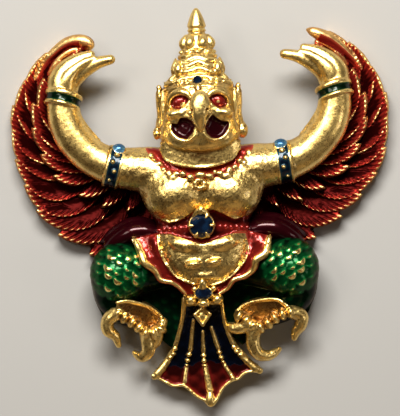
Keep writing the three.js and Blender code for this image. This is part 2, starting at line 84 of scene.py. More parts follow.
def to_line(x, y, line):
    """Distance to a drawn line, the share of it passed there, and the side: positive on its left."""
    line = np.asarray(line, float)
    lengths = np.hypot(*np.diff(line, axis=0).T)
    passed = np.concatenate([[0], np.cumsum(lengths)]) / lengths.sum()
    near = np.full(np.broadcast(x, y).shape, 1e9)
    share = np.zeros_like(near)
    side = np.ones_like(near)
    for (ax, ay), (bx, by), start, end in zip(line, line[1:], passed, passed[1:]):
        dx, dy = bx - ax, by - ay
        h = unit(((x - ax) * dx + (y - ay) * dy) / (dx * dx + dy * dy))
        px, py = x - ax - h * dx, y - ay - h * dy
        gap = px * px + py * py
        closer = gap < near
        near = np.where(closer, gap, near)
        share = np.where(closer, start + h * (end - start), share)
        side = np.where(closer, np.sign(dx * py - dy * px), side)
    return np.sqrt(near), share, side


def to_outline(x, y, outline):
    """Distance to a closed outline, below zero inside it."""
    closed = np.vstack([outline, outline[:1]])
    near = to_line(x, y, closed)[0]
    inside = np.zeros(near.shape, bool)
    for (ax, ay), (bx, by) in zip(closed, closed[1:]):
        if ay != by:
            inside ^= ((ay > y) != (by > y)) & (x < (bx - ax) * (y - ay) / (by - ay) + ax)
    return np.where(inside, -near, near)


SQUARE = [(0, 0), (2, 0), (2, 2), (0, 2)]
print("clay cell:", CELL, "mm; the middle of a 2 mm square:", float(to_outline(1, 1, SQUARE)))

# %% [markdown]
# A shape is a box and a function that gives the distance from any place to it. Five kinds are enough: a ball
# with three half sizes, a rope of changing thickness along a smooth line, ovals stacked along the figure, a
# relief that rises from the back, and a pocket sunk from the front.

# %% Balls, ropes and stacks
def turned(x, y, turn):
    c, s = math.cos(math.radians(turn)), math.sin(math.radians(turn))
    return x * c + y * s, y * c - x * s


def ball(centre, radii, turn=0.0):
    cx, cy, cz = centre
    rx, ry, rz = radii
    reach = np.array([max(rx, ry), max(rx, ry), rz])

    def distance(x, y, z):
        u, v = turned(x - cx, y - cy, turn)
        w = z - cz
        k = np.sqrt((u / rx) ** 2 + (v / ry) ** 2 + (w / rz) ** 2)
        steep = np.sqrt((u / rx**2) ** 2 + (v / ry**2) ** 2 + (w / rz**2) ** 2)
        return k * (k - 1) / np.maximum(steep, 1e-3)

    return centre - reach, centre + reach, distance


def rope(points, radii=None, flat=1.0, steps=5):
    """A rope through the points. The radius is their fourth value, or in radii. flat stretches its depth."""
    if radii is not None:
        points = [(*p, r) for p, r in zip(points, np.broadcast_to(radii, len(points)))]
    line = smooth_line(points, steps)
    reach = max(1.0, flat) * line[:, 3:]

    def distance(x, y, z):
        near = None
        for a, b in zip(line, line[1:]):
            d = b - a
            h = unit(((x - a[0]) * d[0] + (y - a[1]) * d[1] + (z - a[2]) * d[2]) / max(d[:3] @ d[:3], 1e-9))
            u, v, w = x - a[0] - h * d[0], y - a[1] - h * d[1], (z - a[2] - h * d[2]) / flat
            gap = np.sqrt(u**2 + v**2 + w**2) - (a[3] + h * d[3])
            near = gap if near is None else np.minimum(near, gap)
        return near

    return (line[:, :3] - reach).min(0), (line[:, :3] + reach).max(0), distance


def oval(rows, y):
    """Half width, middle height and half depth at y of rows of (y, half width, back, front)."""
    half, back, front = (np.interp(y, rows[:, 0], rows[:, k]) for k in (1, 2, 3))
    return half, (back + front) / 2, (front - back) / 2


def stack(slices, power):
    """Ovals stacked along Y. A power above 2 makes them squarer."""
    rows = smooth_line(slices, 4)
    widest = rows[:, 1].max()

    def distance(x, y, z):
        half, middle, deep = oval(rows, y)
        k = (np.abs(x / half) ** power + np.abs((z - middle) / deep) ** power) ** (1 / power)
        return np.maximum((k - 1) * np.minimum(half, deep), np.maximum(rows[0, 0] - y, y - rows[-1, 0]))

    low = np.array([-widest, rows[0, 0], rows[:, 2].min()])
    high = np.array([widest, rows[-1, 0], rows[:, 3].max()])
    return low, high, distance


print("a place 3 mm from the middle of a 1 mm ball:", float(ball((0, 0, 0), (1, 1, 1))[2](3, 0, 0)),
      "mm off")

# %% Reliefs, pockets and mirror images
def plan(x, y):
    """The places seen from above, as two flat grids."""
    return [grid[..., 0] for grid in np.broadcast_arrays(x, y)]


def relief(low, high, height, outline):
    """A flat-backed relief: height(x, y) above the back within an outline, which may be a function too."""

    def distance(x, y, z):
        px, py = plan(x, y)
        edge = outline(px, py) if callable(outline) else to_outline(px, py, outline)
        return np.maximum(np.maximum(z - height(px, py)[..., None], edge[..., None]), low[2] - z)

    return np.array(low), np.array(high), distance


def pocket(low, high, outline, bottom):
    """A pocket of the given outline. bottom(x, y, edge) is its floor; edge is the distance to the outline."""

    def distance(x, y, z):
        px, py = plan(x, y)
        edge = to_outline(px, py, outline)
        return np.maximum(edge[..., None], bottom(px, py, edge)[..., None] - z)

    return np.array(low), np.array(high), distance


def mirrored(shape):
    (left, near, back), (right, far, front), distance = shape
    return np.array([-right, near, back]), np.array([-left, far, front]), lambda x, y, z: distance(-x, y, z)


def both(shape):
    return shape, mirrored(shape)


def flipped(points, side):
    return [(side * p[0], *p[1:]) for p in points]


def circle(count, start=0.0):
    """Places spread evenly round a circle of radius 1, from an angle in degrees."""
    angles = [math.radians(start) + 2 * math.pi * k / count for k in range(count)]
    return [(math.cos(a), math.sin(a)) for a in angles]


low, high, _ = mirrored(ball((2, 0, 0), (1, 1, 1)))
print("a mirrored ball:", low, "to", high, "mm")

# %% [markdown]
# Turning clay into a mesh: wherever a cell's corners lie on both sides of the surface it gets one vertex, at
# the mean of the places where its edges cross. Four such vertices round each crossed edge make one face.
# Each vertex also keeps how hollow its surroundings are. The material turns that into painted shade: gilding
# darkens there, and enamel deepens, partly also because it lies thicker in hollows.
#
# Small pieces get finer cells and broad ones coarser cells. Together they stay under a million triangles.

# %% Block of clay
CELL_SHARES = {"wing": 1.1, "trunk": 1.25, "arm": 1.25, "leg": 1.25, "sash": 1.15, "roll": 1.8, "crown": 0.8,
               "chest": 0.8, "buckle": 0.8, "forehead": 0.6}
HOLLOW_REACH = 0.3


def box_mean(values, reach):
    """Mean over a small cube round each cell, by running sums."""
    for axis in range(3):
        padded = np.pad(values, [(reach + 1, reach) if k == axis else (0, 0) for k in range(3)], mode="edge")
        total = np.cumsum(padded, axis=axis, dtype=np.float32)
        ahead = np.take(total, range(2 * reach + 1, total.shape[axis]), axis=axis)
        behind = np.take(total, range(0, total.shape[axis] - 2 * reach - 1), axis=axis)
        values = (ahead - behind) / (2 * reach + 1)
    return values


def crossings(f, inside):
    """The cells that the surface passes through, and its mean place in each, counted in cells."""
    nx, ny, nz = np.array(f.shape) - 1
    corners = list(np.ndindex(2, 2, 2))
    count = sum(inside[i : i + nx, j : j + ny, k : k + nz].astype(np.int8) for i, j, k in corners)
    cells = np.argwhere((count > 0) & (count < 8))
    total = np.zeros((len(cells), 3))
    hits = np.zeros(len(cells))
    for a in corners:
        for axis in [k for k in range(3) if not a[k]]:
            b = tuple(1 if k == axis else a[k] for k in range(3))
            fa, fb = (f[tuple((cells + end).T)] for end in (a, b))
            crossed = (fa < 0) != (fb < 0)
            share = fa[crossed] / (fa[crossed] - fb[crossed])
            place = np.tile(np.array(a, float), (len(share), 1))
            place[:, axis] += share
            total[crossed] += place
            hits[crossed] += 1
    return cells, cells + total / hits[:, None]


def faces_between(inside, cells):
    """A four-sided face, seen from outside, for each pair of neighbours on both sides of the surface."""
    shape = np.array(inside.shape) - 1
    number = np.full(shape, -1, np.int64)
    number[tuple(cells.T)] = np.arange(len(cells))
    faces = []
    for axis in range(3):
        u, v = [k for k in range(3) if k != axis]
        lower = [slice(1, s) for s in shape]
        lower[axis] = slice(0, shape[axis])
        upper = list(lower)
        upper[axis] = slice(1, shape[axis] + 1)
        first = inside[tuple(lower)]
        spots = np.argwhere(first != inside[tuple(upper)])
        base = spots + 1
        base[:, axis] -= 1
        ring = []
        for du, dv in ((0, 0), (1, 0), (1, 1), (0, 1)):
            at = base.copy()
            at[:, u] -= du
            at[:, v] -= dv
            ring.append(number[tuple(at.T)])
        quad = np.stack(ring, 1)
        outward = first[tuple(spots.T)] == (axis != 1)
        quad[~outward] = quad[~outward][:, ::-1]
        faces.append(quad)
    return np.vstack(faces)


def without_crumbs(points, faces, hollow_shade, least=400):
    """Leaves out closed bits that came loose from the main form."""
    label = np.arange(len(points))
    while True:
        new = label.copy()
        np.minimum.at(new, faces.ravel(), np.repeat(label[faces].min(1), 4))
        new = new[new]
        if (new == label).all():
            break
        label = new
    names, sizes = np.unique(label[faces[:, 0]], return_counts=True)
    faces = faces[np.isin(label[faces[:, 0]], names[sizes >= least])]
    used = np.unique(faces)
    place = np.full(len(points), -1)
    place[used] = np.arange(len(used))
    return points[used], place[faces], hollow_shade[used]


class Clay:
    """A block of clay for one piece. A mirrored one puts shapes that are drawn for the right on the left."""

    def __init__(self, name, low, high, mirror=False):
        if mirror:
            low, high, _ = mirrored((low, high, None))
        self.name, self.mirror = name, mirror
        self.cell = CELL_SHARES.get(name.split("_")[0], 1.0) * CELL
        self.low = np.array(low, float) - 3 * self.cell
        count = np.ceil((np.array(high) - self.low) / self.cell).astype(int) + 4
        self.field = np.full(count, 5.0, np.float32)

    def work(self, shapes, blend, sign):
        margin = 3 * self.cell + blend
        for shape in shapes:
            low, high, distance = mirrored(shape) if self.mirror else shape
            a = np.clip(np.floor((low - margin - self.low) / self.cell), 0, self.field.shape).astype(int)
            b = np.clip(np.ceil((high + margin - self.low) / self.cell) + 1, 0, self.field.shape).astype(int)
            region = tuple(slice(i, j) for i, j in zip(a, b))
            grids = np.ix_(*[
                (self.low[k] + self.cell * np.arange(a[k], b[k])).astype(np.float32) for k in range(3)])
            if self.field[region].size:
                self.field[region] = sign * soft_min(sign * self.field[region], distance(*grids), blend)

    def add(self, *shapes, blend=0.0):
        self.work(shapes, blend, 1)

    def cut(self, *shapes, blend=0.0):
        self.work(shapes, blend, -1)

    def roughen(self, depth):
        """Leaves the grain of a sand-cast skin, one to three cells wide."""
        noise = np.random.default_rng(1).standard_normal(self.field.shape).astype(np.float32)
        self.field += depth * np.clip(2.2 * box_mean(noise, 1) + 0.35 * noise, -1.5, 1.5)

    def flatten_back(self):
        heights = (self.low[2] + self.cell * np.arange(self.field.shape[2])).astype(np.float32)
        self.field = np.maximum(self.field, -heights)

    def surface(self):
        """Vertices, faces and the hollowness of each vertex."""
        inside = self.field < 0
        cells, places = crossings(self.field, inside)
        points = self.low + places * self.cell
        fullness = box_mean(inside.astype(np.float32), max(1, round(HOLLOW_REACH / self.cell)))
        nearest = np.round((points - self.low) / self.cell).astype(int)
        index = np.clip(nearest, 0, np.array(inside.shape) - 1)
        return without_crumbs(points, faces_between(inside, cells), fullness[tuple(index.T)] - 0.5)


trial = Clay("trial", (-1, -1, -1), (1, 1, 1))
trial.add(ball((0, 0, 0), (1, 1, 1)))
print("a 2 mm ball of clay has", 2 * len(trial.surface()[1]), "triangles")

# %% [markdown]
# Casting makes the piece. Colours aren't painted in a picture: each vertex holds how far inside an enamel
# field it lies, one number for each colour, and the material turns that into a crisp edge and a depth. The
# flat back of the casting is bare.

# %% Casting a piece
ENAMELS = ("red", "green", "blue", "maroon", "sky")
BARE_BACK = 0.15


def hold(mesh, key, values):
    layer = mesh.attributes.new(key, "FLOAT", "POINT")
    layer.data.foreach_set("value", values.astype(np.float32))


def cast(clay, material, paint=None, grain=0.0, flat_back=False):
    """Makes the piece. paint(x, y, z) gives how far inside each enamel field a place lies, and any painted
    shade.
    """
    if grain:
        clay.roughen(grain)
    if flat_back:
        clay.flatten_back()
    points, faces, hollow_shade = clay.surface()
    mesh = bpy.data.meshes.new(clay.name)
    mesh.vertices.add(len(points))
    mesh.vertices.foreach_set("co", (points * MM).astype(np.float32).ravel())
    mesh.loops.add(4 * len(faces))
    mesh.loops.foreach_set("vertex_index", faces.astype(np.int32).ravel())
    mesh.polygons.add(len(faces))
    mesh.polygons.foreach_set("loop_start", np.arange(0, 4 * len(faces), 4, dtype=np.int32))
    mesh.polygons.foreach_set("loop_total", np.full(len(faces), 4, np.int32))
    mesh.update(calc_edges=True)
    mesh.validate()
    mesh.shade_smooth()
    fields = paint(*points.T) if paint else {}
    on_back = points[:, 2] < BARE_BACK
    for key in ENAMELS:
        hold(mesh, key, np.where(on_back, -1.0, fields.get(key, -1.0)))
    # Painted shade: the hollowness plus the shade a piece paints, which darkens gold and deepens enamel.
    hold(mesh, "hollow_shade", hollow_shade + fields.get("shade", 0.0))
    mesh.materials.append(material)
    piece = bpy.data.objects.new(clay.name, mesh)
    bpy.context.scene.collection.objects.link(piece)
    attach(piece, "root")
    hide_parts(FIGURE)
    low, high = np.round(points.min(0), 1), np.round(points.max(0), 1)
    print(f"{clay.name}: {2 * len(faces)} triangles, {low} to {high} mm")


print("enamel colours:", ", ".join(ENAMELS))

# %% [markdown]
# The finish is the same on every piece: transparent enamel fired over gilding. It is a node group, built
# once. It puts a crisp edge where an enamel field begins, a thin, lighter film beside the edge and a deep
# tone further in. Gold darkens to brown, and enamel to its deepest tone, in hollows and wherever a piece
# paints shade: this is painted shade. A second group gives the grain of the casting, which differs in
# fineness.

# %% Node helpers
FLOAT, COLOUR, VECTOR = "NodeSocketFloat", "NodeSocketColor", "NodeSocketVector"


def plug(tree, target, sockets):
    """Links what is a socket to the target's inputs, and sets what is a plain value."""
    for key, value in sockets.items():
        if isinstance(value, bpy.types.NodeSocket):
            tree.links.new(value, target.inputs[key])
        else:
            target.inputs[key].default_value = value


def node(tree, kind, sockets=(), **settings):
    made = tree.nodes.new(kind)
    for key, value in settings.items():
        setattr(made, key, value)
    plug(tree, made, dict(sockets))
    return made


def mix(tree, share, a, b):
    return node(tree, "ShaderNodeMix", {0: share, 6: a, 7: b}, data_type="RGBA").outputs[2]


def step(tree, value, low, high, start=0.0, end=1.0):
    sockets = {"Value": value, "From Min": low, "From Max": high, "To Min": start, "To Max": end}
    return node(tree, "ShaderNodeMapRange", sockets, interpolation_type="SMOOTHSTEP").outputs[0]


def group(name, inputs, outputs):
    tree = bpy.data.node_groups.new(name, "ShaderNodeTree")
    for labels, way in ((inputs, "INPUT"), (outputs, "OUTPUT")):
        for label, kind in labels.items():
            tree.interface.new_socket(label, in_out=way, socket_type=kind)
    return tree, tree.nodes.new("NodeGroupInput").outputs, tree.nodes.new("NodeGroupOutput")


def new_material(name):
    material = bpy.data.materials.new(name)
    material.use_nodes = True
    return material, material.node_tree, material.node_tree.nodes["Principled BSDF"]


print("helpers for nodes in Blender", bpy.app.version_string)

# %% Enamel over gold
FIELD_COLOURS = {
    "Red": ((0.42, 0.055, 0.026, 1), (0.18, 0.011, 0.008, 1), (0.018, 0.001, 0.001, 1)),
    "Green": ((0.014, 0.22, 0.05, 1), (0.001, 0.045, 0.011, 1), (0.0003, 0.006, 0.0025, 1)),
    "Blue": ((0.006, 0.03, 0.045, 1), (0.0012, 0.004, 0.012, 1), (0.0005, 0.001, 0.003, 1)),
    "Maroon": ((0.06, 0.003, 0.006, 1), (0.022, 0.001, 0.003, 1), (0.008, 0.0005, 0.001, 1)),
    "Sky": ((0.08, 0.22, 0.36, 1), (0.02, 0.08, 0.17, 1), (0.005, 0.02, 0.05, 1)),
}
enamel_group, given, leave = group(
    "enamel_over_gold",
    {**dict.fromkeys((*FIELD_COLOURS, "Hollow_shade", "Mottle"), FLOAT), "Gold": COLOUR, "Deep": COLOUR},
    {"Color": COLOUR, "Enamel": FLOAT})
# Painted shade: gold turns toward the deep colour in hollows and painted shade.
deep = step(enamel_group, given["Hollow_shade"], 0.0, 0.3)
colour = mix(enamel_group, deep, given["Gold"], given["Deep"])
colour = mix(enamel_group, step(enamel_group, given["Mottle"], 0.42, 0.72, 0.0, 0.45), colour, given["Deep"])
cover = None
for label, (thin, full, deepest) in FIELD_COLOURS.items():
    edge = step(enamel_group, given[label], -0.03, 0.03)
    field = mix(enamel_group, step(enamel_group, given[label], 0.0, 0.3), thin, full)
    field = mix(enamel_group, step(enamel_group, given[label], 0.5, 1.4), field, deepest)
    # Painted shade: enamel turns toward its deepest tone in hollows and painted shade, partly for its
    # thickness.
    field = mix(enamel_group, step(enamel_group, given["Hollow_shade"], 0.05, 0.4, 0.0, 0.7), field, deepest)
    colour = mix(enamel_group, edge, colour, field)
    cover = edge if cover is None else node(
        enamel_group, "ShaderNodeMath", {0: cover, 1: edge}, operation="MAXIMUM").outputs[0]
plug(enamel_group, leave, {"Color": colour, "Enamel": cover})

grain_group, given, leave = group(
    "cast_grain", {"Place": VECTOR, "Grain per metre": FLOAT}, {"Height": FLOAT, "Mottle": FLOAT})
fine = node(grain_group, "ShaderNodeTexNoise",
            {"Vector": given["Place"], "Scale": given["Grain per metre"], "Detail": 3.0, "Roughness": 0.65})
broad = node(grain_group, "ShaderNodeTexNoise", {"Vector": given["Place"], "Scale": 900.0, "Detail": 2.0})
plug(grain_group, leave, {"Height": fine.outputs[0], "Mottle": broad.outputs[0]})
print("nodes in the groups:", len(enamel_group.nodes), "and", len(grain_group.nodes))

# %% [markdown]
# Four gildings use the groups. The trunk's is granular, since its gold skin was left as cast, and
# darker, as painted shade. Arms, head, feet, sash and tail are smoother. The knees' is the same with less
# gloss under the green, and the feathers' darkens to a red brown in hollows and painted shade, with no
# clear coat over the red, which would turn milky under the broad light.

# %% Gildings
ENAMEL_METAL, ENAMEL_ROUGH, COAT_ROUGH, BUMP_DEPTH = 0.55, 0.28, 0.1, 0.0001
# The second gold is the brown that gold turns to in painted shade and in the random mottle.
GOLD, SHADE_AND_MOTTLE_GOLD = (0.97, 0.7, 0.24), (0.27, 0.13, 0.035)


def gilding(name, gold, deep, grain, depth, rough, coats, gloss=0.1):
    """Gold with its own colour and grain under the shared enamel. coats: on bare gold, and on enamel."""
    material, tree, shader = new_material(name)
    place = node(tree, "ShaderNodeTexCoord").outputs["Object"]
    skin = node(tree, "ShaderNodeGroup", node_tree=grain_group)
    plug(tree, skin, {"Place": place, "Grain per metre": grain})
    finish = node(tree, "ShaderNodeGroup", node_tree=enamel_group)
    for label in (*FIELD_COLOURS, "Hollow_shade"):
        held = node(tree, "ShaderNodeAttribute", attribute_name=label.lower())
        plug(tree, finish, {label: held.outputs["Fac"]})
    plug(tree, finish, {"Mottle": skin.outputs["Mottle"], "Gold": (*gold, 1), "Deep": (*deep, 1)})
    enamel = finish.outputs["Enamel"]
    bare = step(tree, enamel, 0.0, 1.0, 1.0, 0.0)
    metal = step(tree, enamel, 0.0, 1.0, 1.0, ENAMEL_METAL)
    rise = node(tree, "ShaderNodeMath", {0: skin.outputs["Height"], 1: bare}, operation="MULTIPLY")
    bump = node(tree, "ShaderNodeBump",
                {"Height": rise.outputs[0], "Strength": depth, "Distance": BUMP_DEPTH})
    gilt = step(tree, skin.outputs["Height"], 0.3, 0.7, rough - 0.08, rough + 0.1)
    plug(tree, shader, {
        "Base Color": finish.outputs["Color"],
        "Metallic": metal,
        "Roughness": node(tree, "ShaderNodeMix", {0: enamel, 2: gilt, 3: ENAMEL_ROUGH}).outputs[0],
        "Coat Weight": step(tree, enamel, 0.0, 1.0, *coats),
        "Normal": bump.outputs[0],
        "Coat Roughness": COAT_ROUGH,
        "Specular IOR Level": gloss,
        "Specular Tint": (0.6, 0.45, 0.3, 1),
    })
    print(f"{name}: {len(tree.nodes)} nodes")
    return material


# The trunk's gold is a darker copy of the gold elsewhere: painted shade on chest and belly.
granular = gilding("granular_gilding", (0.85, 0.61, 0.21), SHADE_AND_MOTTLE_GOLD, 5200.0, 0.32, 0.32, (0.5, 0.3))
smooth = gilding("smooth_gilding", GOLD, SHADE_AND_MOTTLE_GOLD, 6500.0, 0.13, 0.33, (0.5, 0.4))
scaly = gilding("scaly_gilding", GOLD, SHADE_AND_MOTTLE_GOLD, 6500.0, 0.13, 0.29, (0.5, 0.15), 0.06)
feathered = gilding(
    "red_feather_gilding", (0.96, 0.62, 0.24), (0.3, 0.05, 0.02), 6000.0, 0.2, 0.4, (0.1, 0.0), 0.02)

# %% [markdown]
# Each wing is two rows of overlapping feathers that spiral out from under the arm. A feather runs back from
# its tip, and its outer edge draws in as it goes. A raised gold crest follows that edge, combed with short
# slanted barbs, and the red lies in the hollow behind it. All of it is one height above the back, so the
# wing is a relief. The barbs could be a bump in the material, but then the outline and the exported mesh
# would lose them.

# %% Feathers
OUTER_TIPS = [(-94, 12.3), (-76.6, 12.05), (-59, 11.25), (-42.3, 10.85), (-27, 10.75), (-11.6, 10.75),
              (5.6, 10.8), (19.3, 10.98), (35.4, 11.0), (53.3, 11.3), (68, 11.35), (79, 10.5)]
INNER_TIPS = [(-118, 9.6), (-98, 8.3), (-79.1, 7.75), (-58.3, 7.4), (-31.8, 7.71), (-12.3, 7.97),
              (7.7, 8.63), (24.3, 9.2), (41.7, 9.56), (57, 9.75), (71.9, 9.9), (80, 9.5)]
BARB_PITCH = (0.48, 0.6)
BARB_SLANT = (0.25, 0.9)
BARB_LENGTH = (0.78, 1.0)
TIP_RUN = 1.5


def feather(r, a, tip_angle, tip_radius, width, floor, crest, curve):
    """A feather's height at radius r and angle a round the wing's centre, and its depth inside enamel."""
    low_down = min(max((25.0 - tip_angle) / 70.0, 0.0), 1.0)
    pitch, slant, length = (
        high_up + (low - high_up) * low_down for high_up, low in (BARB_PITCH, BARB_SLANT, BARB_LENGTH))
    behind = tip_angle - a
    along = np.radians(np.maximum(behind, 0)) * (tip_radius - 0.8)
    across = tip_radius - 4.0 * (np.maximum(behind, 0) / 45) ** curve - r
    past = across / length
    point = unit(along / TIP_RUN) ** 0.55
    plain = np.exp(-along / 1.3)
    barb = 0.5 + 0.5 * np.cos(2 * np.pi * (along - slant * across) / pitch + 0.7 * np.sin(1.3 * along))
    comb = unit(past / 0.2) * unit(1.3 - past) * (1 - 0.7 * plain)
    fall = unit((across - 0.25) / (1.7 * length)) ** 0.55
    body = (crest - floor) * (0.8 + 0.2 * point) * (1 - 0.6 * fall) + 0.6 * np.exp(-along / 3.5)
    swell = unit(across / 0.25) ** 0.5 * body + (0.2 + 0.08 * low_down) * (barb - 0.55) * comb
    field = 0.8 * (0.46 + 0.9 * past - (0.64 + 0.24 * low_down) * barb) - 0.5 * plain
    band = 0.13 + 0.14 * (1 - low_down) * (1 + np.sin(2.1 * along + tip_angle))
    field = np.minimum(field, 2.0 * (across - band)) + (0.3 + 1.4 * low_down) * unit(past - 0.5)
    here = (behind > 0) & (behind < 95) & (across > 0)
    within = across < width * point
    return np.where(here, floor + np.where(within, swell, 0), NOTHING), np.where(within, field, 1.0)


def feather_row(r, a, tips, *form):
    """The highest feather of a row at each place."""
    height = np.full(r.shape, NOTHING)
    enamel = np.ones(r.shape)
    for tip in tips:
        rise, field = feather(r, a, *tip, *form)
        enamel = np.where(rise > height, field, enamel)
        height = np.maximum(height, rise)
    return height, enamel


print("feathers in a wing:", len(OUTER_TIPS) + len(INNER_TIPS))

# %% [markdown]
# The two wings were carved apart: each spreads a little differently along its outer row, and ends at the top
# in a broad leaf with a rolled gold edge that curls over the fingertips, with a smaller leaf inside it. The
# rows stop under the arm. Painted shade darkens the red to a dark maroon toward the trunk, darkens the wing
# toward its bottom and darkens the inside of the leaf's curl.

# %% Wing surface
WING_CENTRE = (9.19, 7.94)
SPREAD_ANGLES = [-100, -80, -64, -48, -36, -24, 6, 20, 35, 60]
SPREAD = {-1: [0.5, 0.9, 0.9, 0.75, 0.4, 0, 0, 0.2, 0.1, 0], 1: [0, -0.1, -0.3, -0.25, -0.3, 0, 0, 0.35, 0.3,
                                                                 0.1]}
UNDER_ARM = smooth_line([(3.6, 3.7), (6.4, 4.1), (8.8, 4.4), (11.4, 5.6), (13.3, 7.8), (14.1, 9.7),
                         (14.3, 11.6), (14.3, 13.4), (13.2, 15.0), (11.4, 16.3), (10.6, 17.0)], 3)
WING_END = [(3.4, -1.2), (6.6, -2.6), (9.6, -4.9), (12.9, -4.8), (17.9, -0.4), (21.0, 6.0), (21.0, 14.0),
            (17.2, 18.0), (12.8, 18.4), (12.5, 17.6), (12.2, 16.4), (3.4, 9.0)]
TIP_PANEL = [(12.3, 17.2), (12.4, 17.8), (13.0, 17.9), (14.6, 17.1), (13.6, 15.6), (12.2, 16.5)]


def wing_surface(x, y, hand):
    """Height of a wing, and how far inside enamel a place is. hand is -1 on the left and 1 on the right."""
    u, v = np.abs(x) - WING_CENTRE[0], y - WING_CENTRE[1]
    r, a = np.hypot(u, v), np.degrees(np.arctan2(v, u))
    a = np.where(a > 120, a - 360, a)
    spread = np.interp(a, SPREAD_ANGLES, SPREAD[hand])
    outer, outer_enamel = feather_row(r - spread, a, OUTER_TIPS, 2.6, 0.75, 1.75, 2.6)
    inner, inner_enamel = feather_row(r, a, INNER_TIPS, 2.3, 1.9, 2.75, 1.6)
    gap, _, side = to_line(np.abs(x), y, UNDER_ARM)
    beyond = (gap * side > 0.4) | (to_outline(np.abs(x), y, WING_END) > 0)
    panel = np.where(to_outline(np.abs(x), y, TIP_PANEL) < 0, 1.7, NOTHING)
    height = np.where(beyond, NOTHING, np.maximum(np.maximum(outer, inner), panel))
    return height, np.where(inner >= outer, inner_enamel, outer_enamel)


heights = [wing_surface(np.full(1, 17.0), 3.0, hand)[0].round(2) for hand in SPREAD]
print("height at the same place of the left and right wing:", heights, "mm")

# %% Wings
BROAD_LEAF = {
    -1: [(17.1, 14.3, 1.3, 0.2), (16.2, 15.9, 1.5, 0.34), (15.1, 16.95, 1.8, 0.46), (13.8, 17.85, 2.2, 0.55),
         (12.6, 18.1, 2.5, 0.62), (11.75, 17.95, 2.7, 0.62), (11.3, 17.6, 2.8, 0.52),
         (11.4, 17.2, 2.7, 0.3)],
    1: [(17.1, 14.2, 1.3, 0.2), (16.4, 15.2, 1.5, 0.34), (15.7, 15.95, 1.8, 0.44), (15.0, 16.6, 2.2, 0.52),
        (14.1, 17.3, 2.5, 0.6), (13.1, 17.8, 2.7, 0.64), (12.3, 18.15, 2.8, 0.52), (11.7, 18.4, 2.7, 0.2)]}
SECOND_LEAF = [(15.7, 14.7, 2.0, 0.12), (15.1, 15.6, 2.15, 0.26), (14.4, 16.35, 2.3, 0.32),
               (13.5, 16.95, 2.45, 0.34), (12.7, 17.2, 2.6, 0.2)]
KNOBS = {-1: [ball((11.95, 17.45, 2.3), (0.6, 0.6, 0.5))], 1: []}
WING_BOX = ((3.4, -5.0, 0.0), (20.2, 19.4, 3.8))


def beside(x, y, leaf):
    """Distance to a leaf's line, the leaf's half width there, the share of it passed, and the side."""
    rows = np.array(leaf)
    gap, share, side = to_line(np.abs(x), y, smooth_line(rows[:, :2]))
    return gap, np.interp(share, np.linspace(0, 1, len(rows)), rows[:, 3]), share, side


def wing_paint(x, y, z, hand):
    enamel = wing_surface(x, y, hand)[1]
    gap, half, share, side = beside(x, y, BROAD_LEAF[hand])
    on_leaf = (gap < half + 0.1) & (z > 1.1)
    enamel = np.where(on_leaf, np.where(share < 0.8, gap * side + 0.1 * hand, -0.3), enamel)
    second_gap, second_half, _, _ = beside(x, y, SECOND_LEAF)
    second = second_gap - 0.8 * second_half
    enamel = np.where((second < 0.15) & ~on_leaf, second, enamel)
    from_trunk = np.hypot(np.abs(x), y - 1.5)
    # Near the trunk the enamel is pushed deeper, over the barbs and to its deepest tone: painted shade under
    # the arm.
    enamel = np.where(z < 0.4, -0.4, enamel) + 0.35 * unit((9.5 - from_trunk) / 2.5)
    shade_near_trunk = 1.3 * unit(2.4 - from_trunk / 6.0)
    # Painted shade: darker toward the bottom of the wing, near the trunk and inside the leaf's curl.
    shade = 0.12 * unit((13 - y) / 7) + 0.24 * unit((6 - y) / 8) + 0.08 * unit((11 - from_trunk) / 3)
    shade = shade + 0.2 * (on_leaf & (side > 0) & (share > 0.8))
    return {"red": enamel + np.where(enamel > 0, shade_near_trunk, 0), "shade": shade}


for name, hand in HANDS.items():
    clay = Clay(f"wing_{name}", *WING_BOX, mirror=hand < 0)
    top = lambda x, y: wing_surface(x, y, hand)[0]
    clay.add(relief(*WING_BOX, top, lambda x, y: np.where(top(x, y) > 0, -0.5, 0.05)))
    clay.add(rope(BROAD_LEAF[hand]), rope(SECOND_LEAF, flat=1.4), *KNOBS[hand], blend=0.1)
    cast(clay, feathered, lambda x, y, z: wing_paint(x, y, z, hand), grain=0.012, flat_back=True)

# %% [markdown]
# The trunk is a stack of ovals for the chest and belly, with the chest muscles and shoulders pressed on
# softly. The belt is cut in afterwards, which leaves the crisp lower edge of the chest and the heart-shaped
# upper edge of the belly that the enamel was filled up to.

# %% Trunk
TRUNK = [(-8.6, 1.2, -1, 5.0), (-7.6, 2.9, -1, 6.1), (-6.2, 4.45, -1, 6.75), (-4.4, 5.2, -1, 6.95),
         (-3.0, 5.2, -1, 6.95), (-1.6, 4.95, -1, 6.6), (0.0, 5.5, -1, 6.7), (2.0, 6.0, -1, 7.0),
         (4.0, 5.7, -1, 6.9), (5.6, 4.8, -1, 6.2), (6.9, 3.0, -1, 5.2)]
SHOULDER = [(2.6, 3.6, 3.9, 2.6), (5.2, 4.1, 4.2, 2.5), (7.2, 4.35, 4.15, 2.25), (9.0, 4.6, 4.1, 2.1)]
BELT = [(-6.4, -0.2), (-4.7, -0.95), (-3.5, -1.45), (-2.1, -1.1), (-0.9, -0.3), (1.2, -0.2), (3.3, -1.25),
        (4.6, -0.95), (6.4, -0.2), (6.4, -2.6), (4.9, -2.6), (3.5, -2.55), (1.5, -3.3), (-0.1, -3.75),
        (-1.4, -3.4), (-3.4, -2.6), (-4.9, -2.55), (-6.4, -2.6)]
trunk = Clay("trunk", (-9.6, -8.8, 0), (9.6, 7.4, 8.7))
trunk.add(stack(TRUNK, 2.8))
trunk.add(*both(rope(SHOULDER)), blend=1.2)
trunk.add(*both(ball((2.75, 1.7, 4.9), (3.5, 2.9, 2.95), -12)), blend=0.6)
